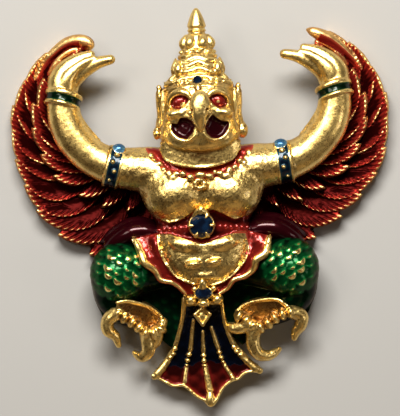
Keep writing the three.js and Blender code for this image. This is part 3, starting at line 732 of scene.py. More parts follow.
trunk.cut(rope([(0, 3.0, 8.9, 0.95), (0, 1.2, 8.7, 0.95), (0, -0.6, 8.55, 0.6)]), blend=0.7)
belt = pocket((-6.5, -3.9, 4.0), (6.5, 0.1, 9.0), BELT, lambda x, y, edge: 6.0 - 0.035 * x * x)
trunk.cut(belt, blend=0.08)
trunk.add(*both(ball((1.9, -3.8, 6.45), (1.7, 0.8, 0.8), 14)), ball((-1.15, -5.8, 6.8), (0.85, 0.36, 0.55),
                                                                    8),
          ball((1.0, -5.65, 6.8), (0.8, 0.34, 0.55), 10), ball((0.2, -7.0, 6.2), (1.3, 0.5, 0.5)),
          blend=0.25)
trunk.cut(rope([(-2.9, -4.95, 7.7, 0.4), (-1.2, -5.05, 7.72, 0.62), (0, -4.95, 7.75, 0.6),
                (1.4, -4.95, 7.72, 0.62), (3.0, -4.7, 7.7, 0.4)]), blend=0.3)
trunk.cut(rope([(-0.1, -3.9, 7.6, 0.4), (-0.05, -5.0, 7.65, 0.45), (0, -6.4, 7.4, 0.3)]), blend=0.3)
print("clay for the trunk:", trunk.field.size, "cells")

# %% [markdown]
# The rest of the trunk is jeweller's work on top: a thin rim round the belly and under the chest, a necklace
# of small balls that hang in threes from a sunk band, a pendant of seven, and a row of studs along the belt.

# %% Rims, necklace and studs
BELLY_RIM = {-1: [(-4.8, -2.7), (-4.7, -4.05), (-4.2, -5.45), (-3.25, -6.85), (-2.1, -7.6), (-1.05, -8.0)],
             1: [(4.3, -2.9), (4.7, -4.5), (4.2, -5.75), (3.1, -6.95), (1.9, -7.75), (0.65, -8.15)]}
BELLY = BELLY_RIM[-1] + BELLY_RIM[1][::-1]
RIM_HEIGHTS = [5.4, 5.7, 5.8, 5.8, 5.8, 5.7]
CHEST_EDGES = [
    [(-4.5, -1.0, 5.55), (-4.0, -1.2, 5.9), (-3.5, -1.35, 6.2), (-2.7, -1.2, 6.42), (-1.9, -0.9, 6.58)],
    [(4.5, -0.95, 5.55), (4.0, -1.05, 5.9), (3.4, -1.2, 6.22), (2.7, -0.95, 6.42), (2.0, -0.6, 6.58)]]
NECKLACE = smooth_line([(-5.1, 6.5), (-4.4, 5.35), (-3.3, 4.4), (-1.8, 3.85), (-0.1, 3.7), (1.6, 3.85),
                        (3.1, 4.4), (4.2, 5.3), (4.9, 6.4)])
BEADS = [(-5.2, 5.65, 0.36, 0.3, -60), (-4.95, 5.1, 0.38, 0.32, -50), (-4.3, 4.75, 0.36, 0.32, -40),
         (-4.66, 4.6, 0.52, 0.42, -45), (-3.95, 4.15, 0.3, 0.28, 0), (-3.36, 3.72, 0.42, 0.35, -30),
         (-2.66, 3.66, 0.36, 0.32, 0), (-2.95, 3.18, 0.64, 0.44, -25), (-1.95, 3.62, 0.4, 0.34, -10),
         (-1.15, 3.26, 0.44, 0.38, 0), (-0.1, 3.46, 0.64, 0.38, 0), (0.85, 3.3, 0.44, 0.38, 0),
         (1.45, 3.7, 0.28, 0.26, 0), (2.0, 3.56, 0.4, 0.35, 10), (2.58, 3.24, 0.64, 0.44, 25),
         (2.92, 3.9, 0.42, 0.36, 30), (3.55, 4.2, 0.32, 0.3, 0), (4.05, 4.8, 0.36, 0.32, 40),
         (4.45, 4.5, 0.52, 0.42, 45), (4.75, 5.1, 0.38, 0.32, 50), (5.0, 5.65, 0.36, 0.3, 60)]
PENDANT = (-0.2, 2.5)
STUDS = [(side * (1.8 + 0.58 * k), -2.02 - 0.03 * k) for side in (-1, 1) for k in range(6)]
BAND = 0.66


def on_trunk(x, y):
    """About how high the chest stands at a place."""
    return 7.75 - 0.06 * x * x - 0.03 * (y - 2.5) ** 2


def trunk_paint(x, y, z):
    belt = np.where(z > 1.0, -to_outline(x, y, BELT) - 0.05, -1)
    for sx, sy in STUDS:
        belt = np.minimum(belt, 0.04 + 0.8 * np.maximum(np.hypot(x - sx, y - sy) - 0.1, 0))
    belt = np.where(belt > 0, 1.5 * belt + 0.55, belt)
    collar = np.where(z > 5.0, BAND - to_line(x, y, NECKLACE)[0], -1)
    for bx, by, long, wide, turn in BEADS:
        u, v = turned(x - bx, y - by, turn)
        collar = np.minimum(collar, (np.hypot(u / long, v / wide) - 0.85) * wide)
    below = np.where((y < -2.6) & (z > 1), to_outline(x, y, BELLY) - 0.12, -1)
    return {"red": np.maximum(np.maximum(belt, collar), below)}


for line in BELLY_RIM.values():
    trunk.add(rope([(x, y, z) for (x, y), z in zip(line, RIM_HEIGHTS)], 0.12, flat=1.6), blend=0.08)
for line in CHEST_EDGES:
    trunk.add(rope(line, [0.06, 0.12, 0.14, 0.12, 0.06]), blend=0.05)
trunk.cut(rope([(x, y, on_trunk(x, y) + 0.38) for x, y in NECKLACE], BAND, steps=1), blend=0.1)
for x, y, long, wide, turn in BEADS:
    trunk.add(ball((x, y, on_trunk(x, y)), (long, wide, 0.9 * wide), turn), blend=0.06)
for across, up in circle(7, math.degrees(0.2)):
    x, y = PENDANT[0] + 0.52 * across, PENDANT[1] + 0.46 * up
    trunk.add(ball((x, y, on_trunk(*PENDANT) - 0.08), (0.3, 0.25, 0.3)), blend=0.08)
for x, y in STUDS:
    trunk.add(ball((x, y, 5.98 - 0.035 * x * x), (0.2, 0.16, 0.15)), blend=0.06)
cast(trunk, granular, trunk_paint, grain=0.026, flat_back=True)

# %% [markdown]
# Arms, raised and bent like bows. An armlet and a bracelet are turned rings round the arm's own axis: an
# enamel band between two gold rims, with small beads and one round boss on the armlet. Rings are worked out
# round that axis, since ropes would not keep the sharp edges of turned work.

# %% Rings round the arm
ARMLETS = {-1: ((9.15, 4.62, 4.1), (0.965, 0.262, 0)), 1: ((8.72, 4.52, 4.1), (0.993, 0.12, 0))}
BRACELET = ((14.3, 11.75, 4.0), (-0.26, 0.94, -0.2))
ARMLET_BEADS = [(-34, -0.05, 0.27), (-12, 0.2, 0.22), (12, -0.15, 0.2), (40, 0.15, 0.17)]


def ring(place, axis, radius, half, edge=0.1, shift=0.0):
    """A turned band round an axis, with softened edges, shifted along the axis."""
    place = [p + shift * a for p, a in zip(place, axis)]
    a = np.array(axis) / np.linalg.norm(axis)
    reach = radius + half

    def distance(x, y, z):
        u, v, w = x - place[0], y - place[1], z - place[2]
        passed = u * a[0] + v * a[1] + w * a[2]
        out = np.sqrt(np.maximum(u * u + v * v + w * w - passed * passed, 0))
        du, dv = out - radius + edge, np.abs(passed) - half + edge
        return np.minimum(np.maximum(du, dv), 0) + np.hypot(np.maximum(du, 0), np.maximum(dv, 0)) - edge

    return place - reach * np.ones(3), place + reach * np.ones(3), distance


def along_axis(x, y, z, place, axis):
    return (np.abs(x) - place[0]) * axis[0] + (y - place[1]) * axis[1] + (z - place[2]) * axis[2]


def gap_to(x, y, z, place):
    return np.sqrt((np.abs(x) - place[0]) ** 2 + (y - place[1]) ** 2 + (z - place[2]) ** 2)


def on_armlet(side, degrees, along, out=2.3):
    """A place on the armlet: degrees round from its top, which faces the viewer, and a step along."""
    (px, py, pz), (ax, ay, _) = ARMLETS[side]
    up, off = out * math.cos(math.radians(degrees)), out * math.sin(math.radians(degrees))
    return px + along * ax + ay * off, py + along * ay - ax * off, pz + up


print("top of the left armlet:", np.round(on_armlet(-1, 0, 0), 2), "mm")

# %% Arms
ARM = [(7.4, 4.4, 4.15, 2.1), (8.8, 4.55, 4.1, 2.05), (11.3, 5.65, 4.0, 1.9), (13.3, 7.8, 4.0, 1.9),
       (14.1, 9.7, 4.0, 1.8), (14.3, 11.6, 4.0, 1.68), (14.45, 12.9, 4.0, 1.45)]
ARM_RIB = [(13.0, 11.0, 4.2, 0.16), (12.4, 9.7, 4.3, 0.24), (11.55, 8.5, 4.4, 0.22), (10.5, 7.5, 4.4, 0.08)]
FINGERS = [[(14.4, 12.6, 4.0, 1.45), (14.45, 13.9, 4.0, 1.3), (13.75, 15.1, 4.1, 1.0),
            (12.6, 15.95, 4.2, 0.74), (11.2, 16.5, 4.2, 0.44)],
           [(14.1, 12.8, 4.2, 1.2), (13.8, 14.0, 4.5, 1.0), (12.9, 15.0, 4.6, 0.7), (11.8, 15.7, 4.6, 0.52),
            (10.9, 16.05, 4.5, 0.36)],
           [(14.1, 12.7, 3.8, 1.35), (13.4, 13.8, 3.9, 1.1), (12.1, 14.8, 4.1, 0.86),
            (10.5, 15.6, 4.3, 0.66), (9.15, 15.9, 4.3, 0.52)]]


def arm_paint(x, y, z, side):
    armlet = ARMLETS[side]
    across = np.abs(along_axis(x, y, z, *armlet))
    out = gap_to(x, y, z, armlet[0])
    band = np.where(out < 3.2, 0.6 - across, -1)
    for degrees, along, size in ARMLET_BEADS:
        band = np.minimum(band, gap_to(x, y, z, on_armlet(side, degrees, along)) - size)
    boss = 0.72 - gap_to(x, y, z, on_armlet(side, -60, -0.1, 2.4))
    boss = np.where(out < 3.4, np.minimum(boss, 0.72 - across), -1)
    near_cuff = np.hypot(np.abs(x) - BRACELET[0][0], y - BRACELET[0][1]) < 3.0
    cuff = np.where(near_cuff, 0.33 - np.abs(along_axis(x, y, z, *BRACELET)), -1)
    return {"blue": np.where(boss > 0, -1, band), "sky": boss, "green": np.where(cuff > 0, cuff + 1.1, cuff)}


for name, side in HANDS.items():
    clay = Clay(f"arm_{name}", (7.6, 1.9, 1.4), (17.0, 18.0, 7.4), mirror=side < 0)
    clay.add(*[rope(finger) for finger in FINGERS], blend=0.05)
    clay.add(rope(ARM))
    clay.add(ring(*ARMLETS[side], 2.24, 0.7), blend=0.05)
    clay.add(*[ring(*ARMLETS[side], 2.27, 0.08, 0.06, shift) for shift in (-0.76, 0.76)], blend=0.04)
    for degrees, along, size in ARMLET_BEADS:
        clay.add(ball(on_armlet(side, degrees, along), (size, size, size)), blend=0.03)
    clay.add(ball(on_armlet(side, -60, -0.1, 2.1), (0.78, 0.7, 0.66)), blend=0.06)
    clay.add(rope(ARM_RIB), blend=0.1)
    clay.add(ring(*BRACELET, 1.8, 0.7), blend=0.05)
    clay.add(ring(*BRACELET, 1.92, 0.2, 0.17, -0.55), ring(*BRACELET, 2.0, 0.28, 0.17, 0.6), blend=0.04)
    cast(clay, smooth, lambda x, y, z: arm_paint(x, y, z, side), grain=0.012)

# %% [markdown]
# The head is bird and giant at once: a broad jowled face, a bulbous nose that hooks over the mouth as a
# beak, two open mouth corners, and red eyes under thick gold lids. It is a stack of ovals first. Everything
# on the face is then seated on that stack, so that it follows the curve of the face from the side as well.

# %% Head and collar
HEAD = [(5.6, 1.3, 3.3, 7.4), (5.85, 2.6, 2.9, 8.1), (6.25, 3.4, 2.5, 8.65), (6.85, 3.95, 2.1, 9.0),
        (7.7, 4.3, 1.9, 9.25), (8.9, 4.05, 1.6, 9.3), (10.4, 3.85, 1.5, 9.25), (11.8, 3.8, 1.5, 9.05),
        (12.6, 3.78, 1.7, 8.75), (13.3, 3.45, 2.0, 8.2), (14.1, 2.75, 2.5, 7.7), (15.2, 2.25, 3.1, 7.2),
        (16.3, 1.75, 3.6, 6.75)]
SQUARENESS = 2.3
COLLAR = smooth_line([(-4.25, 6.3, 6.95), (-3.55, 5.0, 7.3), (-1.6, 4.4, 7.75), (0.0, 4.25, 7.9),
                      (1.6, 4.4, 7.75), (3.3, 5.0, 7.35), (4.1, 6.1, 7.0)], 4)


def on_face(x, y, lift=0.0):
    half, middle, deep = oval(smooth_line(HEAD, 4), y)
    round_share = np.maximum(1 - np.abs(np.asarray(x) / half) ** SQUARENESS, 0) ** (1 / SQUARENESS)
    return middle + deep * round_share + lift


def collar_distance(x, y, z):
    """The collar: a plate that comes out from under the jaw to its own rim."""
    rim, top = (np.interp(x, COLLAR[:, 0], COLLAR[:, k]) for k in (1, 2))
    top = top + 0.08 + 0.1 * np.maximum(y - rim, 0) - 0.12 * np.exp(-(((x - 0.2) / 0.8) ** 2))
    off = np.maximum(np.maximum(rim - y, y - 7.0), np.maximum(z - top, 1.6 - z))
    return np.maximum(off, np.abs(x) - 4.2) * 0.85


head = Clay("head", (-5.7, 3.2, 1.3), (5.7, 17.0, 11.3))
head.add(stack(HEAD, SQUARENESS))
head.add((np.array([-4.2, 4.2, 1.6]), np.array([4.2, 7.0, 8.4]), collar_distance))
head.add(rope(COLLAR, 0.07, steps=1), blend=0.2)
head.add(*both(ball((2.6, 9.92, 8.3), (0.95, 0.55, 1.0), -12)), blend=0.5)
head.add(*both(ball((1.8, 7.0, 7.4), (1.6, 0.7, 1.3), 12)), blend=0.5)
head.cut(ball((0, 6.7, 9.65), (0.7, 0.8, 0.6)), blend=0.4)
print("height of the face at the nose root:", round(float(on_face(0, 11.0)), 2), "mm")

# %% [markdown]
# The mouth corners and eyes are pockets first, since enamel needs a floor and a wall. Lids, lips and cheeks
# are ropes laid round them, and the beak goes on last.

# %% Face
MOUTH = {-1: [(-2.98, 9.0), (-2.4, 8.87), (-2.0, 9.5), (-1.27, 9.42), (-0.7, 9.05), (-0.48, 8.5),
              (-0.75, 7.82), (-1.4, 7.2), (-2.12, 7.38), (-2.8, 7.88), (-3.02, 8.5)],
         1: [(1.37, 9.75), (0.86, 9.2), (0.52, 8.4), (0.65, 7.78), (1.16, 7.3), (1.88, 7.14), (2.55, 7.5),
             (3.0, 8.25), (3.12, 8.95), (2.34, 9.03), (1.76, 9.4)]}
EYE = [(1.0, 11.45), (1.35, 11.75), (1.95, 11.88), (2.5, 11.65), (2.9, 11.1), (2.95, 10.7), (2.55, 10.45),
       (2.05, 10.35), (1.6, 10.65), (1.2, 11.1)]
NOSE = [(0.1, 11.8, 9.35, 0.5), (0.1, 11.4, 9.65, 0.9), (0.1, 10.95, 9.8, 1.1), (0.08, 10.5, 9.85, 1.08),
        (0.05, 10.15, 9.85, 0.95)]
BEAK = [(0.05, 10.3, 9.95, 0.9), (0, 9.8, 9.95, 0.8), (-0.03, 9.25, 9.75, 0.72), (0.05, 8.6, 9.5, 0.48),
        (0.08, 8.15, 9.3, 0.22)]
LID = [(0.85, 11.4), (1.2, 11.92), (1.85, 12.2), (2.5, 12.05), (3.0, 11.55), (3.2, 10.85)]
UNDER_EYE = [(3.15, 10.85), (2.8, 10.38), (2.1, 10.2), (1.5, 10.52), (1.1, 10.95)]
LIP = [(0.3, 8.2), (0.5, 7.65), (0.95, 7.2), (1.6, 7.05), (2.35, 7.3), (2.95, 7.95), (3.2, 8.75)]
CHEEK = [(3.35, 9.45), (2.8, 9.62), (2.3, 9.6), (1.8, 9.95), (1.45, 10.25)]
FACE_LINES = [(LID, [0.12, 0.3, 0.36, 0.36, 0.28, 0.16], 0.2, 0.1),
              (UNDER_EYE, [0.04, 0.1, 0.12, 0.1, 0.04], -0.04, 0.15),
              (LIP, [0.05, 0.11, 0.15, 0.16, 0.15, 0.13, 0.08], 0.04, 0.08),
              (CHEEK, [0.06, 0.12, 0.14, 0.12, 0.06], 0.0, 0.15)]


def face_rope(points, radii, lift):
    return rope([(x, y, float(on_face(x, y, lift))) for x, y in points], radii)


def face_pocket(outline, depth):
    low, high = np.min(outline, 0), np.max(outline, 0)
    bottom = lambda x, y, edge: on_face(x, y) - depth * unit(-edge / 0.4) ** 0.5
    return pocket((*low, 5.0), (*high, 11.5), outline, bottom)


head.cut(face_pocket(MOUTH[-1], 0.8), face_pocket(MOUTH[1], 0.8), blend=0.06)
for side in (-1, 1):
    head.cut(face_pocket(flipped(EYE, side), 0.45), blend=0.06)
    eyeball = (side * 1.98, 11.1, float(on_face(2.0, 11.1)) - 0.42)
    head.add(ball(eyeball, (0.8, 0.62, 0.36), side * -22), blend=0.03)
    for points, radii, lift, blend in FACE_LINES:
        head.add(face_rope(flipped(points, side), radii, lift), blend=blend)
head.add(rope(NOSE, flat=0.75), blend=0.25)
head.add(rope(BEAK, flat=0.85), blend=0.12)
head.add(*both(ball((0.95, 9.95, 9.75), (0.4, 0.3, 0.42), 25)), blend=0.08)
head.cut(*both(ball((0.78, 10.25, 10.2), (0.2, 0.13, 0.35), 25)), blend=0.05)
print("lines laid on each half of the face:", len(FACE_LINES))

# %% Ears
FLAP = [(4.05, 12.7, 6.0, 0.2), (4.15, 12.1, 5.9, 0.36), (4.12, 11.0, 5.6, 0.4), (4.05, 9.8, 5.4, 0.42),
        (4.2, 8.8, 5.3, 0.45)]
EAR_RIM = [(3.75, 12.4, 6.7, 0.14), (3.82, 11.2, 6.7, 0.26), (3.75, 9.8, 6.6, 0.28), (3.85, 8.6, 6.4, 0.28),
           (4.0, 7.6, 6.0, 0.16)]
for side in (-1, 1):
    head.add(rope(flipped(FLAP, side), flat=2.2), blend=0.15)
    head.add(rope(flipped(EAR_RIM, side)), blend=0.12)
    head.add(ball((side * 4.16, 12.72, 6.3), (0.26, 0.32, 0.3)), blend=0.08)
head.add(ball((4.5, 8.05, 5.5), (0.55, 0.85, 0.95)), ball((-4.55, 7.95, 5.4), (0.4, 0.65, 0.8)), blend=0.15)
print("ears reach from", FLAP[-1][1], "to", FLAP[0][1], "mm")

# %% [markdown]
# The forehead is bound like a turban: a beaded fillet with small rosettes, then heavy folds that rise to the
# middle and wave, with a leaf at either side.

# %% Forehead
FOLDS = [(12.55, 0.12, 0.3, 0.0), (13.2, 0.24, 0.85, 0.05), (13.9, 0.32, 1.0, 0.1), (14.6, 0.34, 0.9, 0.12),
         (15.3, 0.32, 0.6, 0.1), (15.9, 0.24, 0.15, 0.05)]
BROW = [(0.7, 12.25), (1.3, 12.5), (2.1, 12.62), (2.9, 12.4), (3.4, 11.9)]
TOP_LEAVES = [[(1.9, 13.95, 7.0, 0.36), (2.05, 14.5, 7.1, 0.46), (2.02, 15.0, 7.0, 0.36),
               (1.95, 15.5, 6.7, 0.1)],
              [(2.45, 13.9, 6.2, 0.26), (2.5, 14.5, 6.3, 0.36), (2.42, 15.1, 6.2, 0.28),
               (2.3, 15.7, 6.0, 0.1)]]
PETALS = 5


def flower(x, y, z, size):
    reach = 0.72 * size
    petal = (0.36 * size, 0.36 * size, 0.45 * size)
    petals = [ball((x + reach * across, y + reach * up, z), petal) for across, up in circle(PETALS)]
    return [ball((x, y, z + 0.25 * size), (0.5 * size, 0.5 * size, 0.6 * size))] + petals


def head_paint(x, y, z):
    mouth = np.maximum(-to_outline(x, y, MOUTH[-1]), -to_outline(x, y, MOUTH[1]))
    # The left eye has a real gold spot at its lower corner; the small bare gold dot in the right eye's middle
    # is a painted glint.
    gold_spot_and_glint = np.where(x > 0, np.hypot(x - 2.0, y - 11.05) - 0.14, np.hypot(x + 1.6, y - 10.75) - 0.32)
    eye = np.minimum(-to_outline(np.abs(x), y, EYE), gold_spot_and_glint)
    # Painted shade under the jaw and on a band across the forehead.
    shade_under_jaw = 0.2 * unit(1.2 - np.hypot(x / 2.6, (y - 5.4) / 1.1))
    return {"maroon": np.where(z > 6, np.minimum(mouth - 0.02, on_face(x, y) - z - 0.02), -1),
            "red": np.where(z > 6, np.where(eye > 0.05, eye + 0.4, eye - 0.05), -1),
            "shade": shade_under_jaw + 0.12 * unit(1 - np.abs(y - 12.55) / 0.5)}


for k, (y, radius, rise, wave) in enumerate(FOLDS):
    half = float(np.interp(y, *np.array(HEAD).T[:2]))
    line = [(x, y + rise * (0.6 - (x / half) ** 2) + wave * math.sin(3.1 * x + 0.5 * k))
            for x in np.linspace(-0.97 * half, 0.97 * half, 13)]
    head.add(face_rope(line, radius, 0.06), blend=0.08)
for side in (-1, 1):
    head.add(face_rope(flipped(BROW, side), [0.06, 0.12, 0.13, 0.12, 0.06], 0.03), blend=0.06)
for k in (-5, -4, -3, -2, 2, 3, 4, 5):
    x = 0.66 * k
    y = 12.98 + 0.35 * (1 - (x / 3.8) ** 2)
    place = (x, y, float(on_face(x, y, 0.1)))
    if abs(k) in (3, 5):
        head.add(*flower(*place, 0.34), blend=0.02)
    else:
        head.add(ball(place, (0.26, 0.15, 0.22)), blend=0.03)
head.add(rope([(-0.08, 12.62, 8.8, 0.3), (-0.05, 12.3, 8.95, 0.24), (0, 12.0, 9.2, 0.1)]), blend=0.08)
for leaf in TOP_LEAVES:
    head.add(*both(rope(leaf, flat=1.3)), blend=0.06)
cast(head, smooth, head_paint, grain=0.014)

# %% [markdown]
# The tall crown is turned work with leaves: rings, a tier of six lobes, and a pointed spire. It is built
# round its own axis, which lies a little above the figure's back.

# %% Crown
CROWN_AXIS = 5.2
CROWN = [(15.9, 1.7), (16.15, 1.78), (16.45, 1.62), (16.6, 1.72), (16.8, 1.5), (17.5, 1.3), (18.05, 1.1),
         (18.3, 0.92), (18.45, 0.86), (18.62, 1.0), (18.8, 0.86), (18.9, 0.86), (19.05, 0.98), (19.5, 0.88),
         (20.1, 0.66), (20.6, 0.42), (20.85, 0.26), (21.0, 0.1)]


def turned_work(x, y, z):
    out = np.hypot(x, z - CROWN_AXIS) - np.interp(y, *smooth_line(CROWN, 4).T)
    return np.maximum(out * 0.9, np.maximum(15.9 - y, y - 20.98))


crown = Clay("crown", (-2.6, 15.5, 2.5), (2.6, 21.2, 8.2))
crown.add((np.array([-2.1, 15.8, 3.0]), np.array([2.1, 21.1, 7.4]), turned_work))
for across, up in circle(6, 4):
    lobe = [(out * across, y, CROWN_AXIS + out * up, radius)
            for out, y, radius in ((1.2, 16.85, 0.46), (1.36, 17.3, 0.56), (1.12, 17.95, 0.3))]
    crown.add(rope(lobe), blend=0.05)
for across, up in circle(9, 10):
    crown.add(ball((1.62 * across, 16.35, CROWN_AXIS + 1.62 * up), (0.38, 0.26, 0.38)), blend=0.04)
cast(crown, smooth)

# %% [markdown]
# Thighs spread to round knees covered in scales, like a bird's. Each scale is a small dome that overlaps the
# one below, with a bare gold tip where the enamel was polished off. The shins fold in under the knees, and a
# thin plate behind them joins them to the tail.

# %% Scales
KNEE = (8.88, -6.45, 3.5)
SCALE_PITCH = 1.15
SCALE_TURN = 33


def scales(x, y):
    """Height of the scales from 0 to 1, and how far the place is from a scale's bare crescent edge."""
    u, v = turned(x, y, SCALE_TURN)
    height = np.zeros(np.broadcast(u, v).shape)
    tip = np.full(height.shape, 9.0)
    for dj in (-1, 0, 1, 2):
        j = np.floor(v / (0.8 * SCALE_PITCH)) + dj
        shift = 0.5 * SCALE_PITCH * np.mod(j, 2)
        for di in (-0.5, 0.5):
            i = np.floor((u - shift) / SCALE_PITCH + 0.5 + di)
            du = u - i * SCALE_PITCH - shift - 0.16 * SCALE_PITCH * np.sin(12.9 * i + 7.3 * j)
            dv = v - j * 0.8 * SCALE_PITCH - 0.14 * SCALE_PITCH * np.sin(5.1 * i + 3.7 * j)
            spread = np.hypot(du, dv) / (0.6 * SCALE_PITCH)
            edge = np.hypot(0.5 * du, dv + 0.36 * SCALE_PITCH - 1.1 * du * du)
            edge = edge + 0.08 * (1 + np.sin(8.3 * i + 4.9 * j))
            here = unit(1.08 - spread**2) ** 0.5 * (0.7 - 0.45 * dv / SCALE_PITCH)
            here = here + 0.3 * np.exp(-((edge / 0.25) ** 2)) * (here > 0)
            tip = np.where(here > height, edge, tip)
            height = np.maximum(height, here)
    return height, tip


def knee_share(x, y):
    """1 on the knee, falling to 0 along thigh and shin."""
    return unit(1.35 - np.hypot(np.abs(x) - KNEE[0] - 0.3, (y - KNEE[1]) * 1.05) / 2.6)


def scaly_skin(shape, depth):
    low, high, distance = shape

    def rough(x, y, z):
        return distance(x, y, z) - depth * unit(0.25 + knee_share(x, y)) * (scales(x, y)[0] - 0.4)

    return low - depth, high + depth, rough


print("scale height in the middle of the knee:", scales(np.full(1, KNEE[0]), KNEE[1])[0].round(2))

# %% Legs
LEG_PLATE = [(1.0, -7.4), (5.0, -5.0), (11.2, -5.0), (12.0, -7.4), (11.6, -9.3), (10.8, -11.4), (8.8, -11.6),
             (5.2, -13.3), (3.8, -14.6), (2.0, -13.0)]
PLATE_TOP = 2.2
THIGH = [(2.6, -5.4, 2.9, 2.2), (5.4, -5.9, 3.0, 2.45), (8.0, -6.3, 3.4, 2.7)]
SHIN = [(9.8, -7.4, 3.0, 2.1), (9.5, -9.2, 2.6, 1.95), (8.0, -10.6, 2.4, 1.7), (6.0, -11.6, 2.0, 1.2)]


def leg_paint(x, y, z):
    height, tip = scales(np.abs(x), y)
    bare = 0.26 * unit(knee_share(x, y) * 1.4) * (z > 3.6)
    # The green is deepest in the grooves between scales and darker along thigh and shin, away from the knee.
    green_depth = unit(1.0 - 0.9 * height) * 1.2 + 0.8 * unit(0.9 - knee_share(x, y))
    return {"green": np.minimum(0.12 + green_depth, np.where(bare > 0.05, 1.8 * (tip - bare), 9.0))}


for name, side in HANDS.items():
    clay = Clay(f"leg_{name}", (1.0, -14.8, 0.0), (12.4, -2.8, 7.2), mirror=side < 0)
    clay.add(scaly_skin(rope(THIGH), 0.2))
    clay.add(scaly_skin(ball(KNEE, (3.12, 3.12, 3.12)), 0.3), rope(SHIN), blend=0.5)
    plate = relief((1.0, -14.8, -0.5), (12.2, -4.8, 2.6), lambda x, y: np.full(x.shape, PLATE_TOP),
                   LEG_PLATE)
    clay.add(plate, blend=0.4)
    cast(clay, scaly, leg_paint, flat_back=True)

# %% [markdown]
# Gold feet: a smooth fan that rises toward the shin, a row of ridged scutes along its lower edge as on a
# hen's leg, and hooked toes. The two feet were carved by hand and differ, so each has its own lines.

# %% Feet
FEET = {
    "foot_left": {
        "shank": ((-6.95, -10.95, 2.4), (2.75, 1.45, 1.1), -27),
        "scutes": [(-9.45, -10.5), (-9.1, -10.85), (-8.55, -11.25), (-7.72, -11.75), (-6.98, -12.34),
                   (-6.35, -12.95), (-5.5, -13.0), (-4.85, -12.6), (-4.55, -11.8)],
        "rim": [(-4.5, -11.6), (-4.95, -10.95), (-6.1, -10.1), (-8.1, -9.5), (-9.3, -9.6)],
        "toes": [[(-9.5, -10.75), (-10.3, -11.5), (-10.35, -12.5), (-9.6, -13.2), (-9.3, -14.15)],
                 [(-6.3, -12.9), (-6.2, -13.9), (-6.2, -14.8), (-6.7, -15.4), (-7.2, -15.35),
                  (-7.65, -15.0)],
                 [(-5.3, -12.8), (-5.4, -13.7), (-5.9, -14.6)]],
    },
    "foot_right": {
        "shank": ((5.95, -10.95, 2.4), (2.8, 1.4, 1.1), 6),
        "scutes": [(9.2, -11.15), (8.5, -11.3), (7.75, -11.5), (7.1, -11.85), (6.5, -12.3), (5.85, -12.65),
                   (5.2, -12.75), (4.55, -12.2), (4.0, -11.75), (3.4, -11.4)],
        "rim": [(3.2, -10.95), (4.1, -10.3), (5.7, -9.85), (7.5, -9.85), (8.6, -10.6)],
        "toes": [[(9.1, -11.2), (10.0, -11.7), (9.9, -12.6), (9.4, -13.3), (9.2, -14.0)],
                 [(5.2, -12.75), (4.85, -13.7), (4.95, -14.8), (5.45, -15.55), (6.3, -15.75), (7.0, -15.5),
                  (7.55, -15.15)],
                 [(4.5, -12.35), (3.6, -12.65), (2.8, -12.7), (2.4, -12.4)]],
    },
}
SCUTE_PITCH = 0.9


def fan_top(x, y):
    return 3.25 + 1.2 * unit((np.abs(x) - 4.6) / 4.2) + 0.3 * np.clip(y + 11.3, -1.5, 1.5)


def make_foot(name, shank, scutes, rim, toes):
    """A foot: the fan of the shank with its rim, the row of scutes along its lower edge, and the toes."""
    fan = rim + scutes
    every = np.array(sum(toes, fan))
    low, high = every.min(0), every.max(0)
    row = smooth_line(scutes, 24)
    passed = np.concatenate([[0], np.cumsum(np.hypot(*np.diff(row, axis=0).T))])
    clay = Clay(name, (*(low - 1), 1.2), (*(high + 1), 5.4))
    clay.add(ball(*shank))
    clay.add(relief((*low, 1.3), (*high, 5.0), fan_top, fan), blend=0.2)
    clay.add(rope([(x, y, float(fan_top(x, y))) for x, y in rim], 0.16, flat=1.3), blend=0.12)
    clay.add(rope([(x, y, 3.5) for x, y in scutes], 0.5, flat=1.5), blend=0.1)
    for along in np.arange(0.3, passed[-1], SCUTE_PITCH):
        (x, nx), (y, ny) = (np.interp([along, along + 0.1], passed, row[:, k]) for k in (0, 1))
        clay.add(ball((x, y, 4.0), (0.42, 0.7, 0.98), math.degrees(math.atan2(ny - y, nx - x))), blend=0.03)
    for toe in toes:
        radii = np.interp(np.linspace(0, 1, len(toe)), [0, 0.5, 0.85, 1], [0.78, 0.68, 0.46, 0.3])
        clay.add(rope([(x, y, 3.8 - 0.2 * k) for k, (x, y) in enumerate(toe)], radii, flat=1.15), blend=0.12)

    def paint(x, y, z):
        # Painted shade: the fan darkens inside its outline, away from the row of scutes.
        inside = -to_outline(x, y, fan) - 0.05
        return {"shade": np.clip(1.2 * np.minimum(inside, to_line(x, y, row)[0] - 0.5), 0, 0.27)}

    cast(clay, smooth, paint, grain=0.017)


for name, lines in FEET.items():
    make_foot(name, **lines)

# %% [markdown]
# The tail apron flares to a scalloped hem. Five gold ribs run down it: a thin wire, two beads, then a flat
# strip. Between them the floor is sunk, dark blue above and red below, with a wavy border. A rope edges the
# flared sides and the hem.

# %% Tail apron
TAIL_SIDES = {-1: [(-2.3, -9.0), (-2.35, -10.4), (-2.65, -12.0), (-3.15, -13.6), (-3.8, -14.9),
                   (-4.75, -16.2), (-5.95, -17.6)],
              1: [(1.75, -9.0), (1.85, -10.4), (2.25, -12.2), (2.9, -13.9), (3.7, -15.2), (4.6, -16.3),
                  (5.75, -17.35)]}
HEM = smooth_line([(-5.95, -17.6), (-5.2, -17.95), (-4.5, -18.35), (-3.7, -18.75), (-2.75, -18.7),
                   (-2.1, -19.15), (-1.35, -19.85), (-0.5, -20.35), (0.2, -20.95), (0.75, -20.5),
                   (1.1, -19.9), (1.6, -19.1), (2.5, -18.4), (3.3, -18.2), (3.75, -17.75), (4.3, -17.5),
                   (5.0, -17.45), (5.75, -17.35)], 3)
TAIL = np.vstack([smooth_line(TAIL_SIDES[-1], 3)[:-1], HEM[:-1], smooth_line(TAIL_SIDES[1], 3)[:0:-1]])
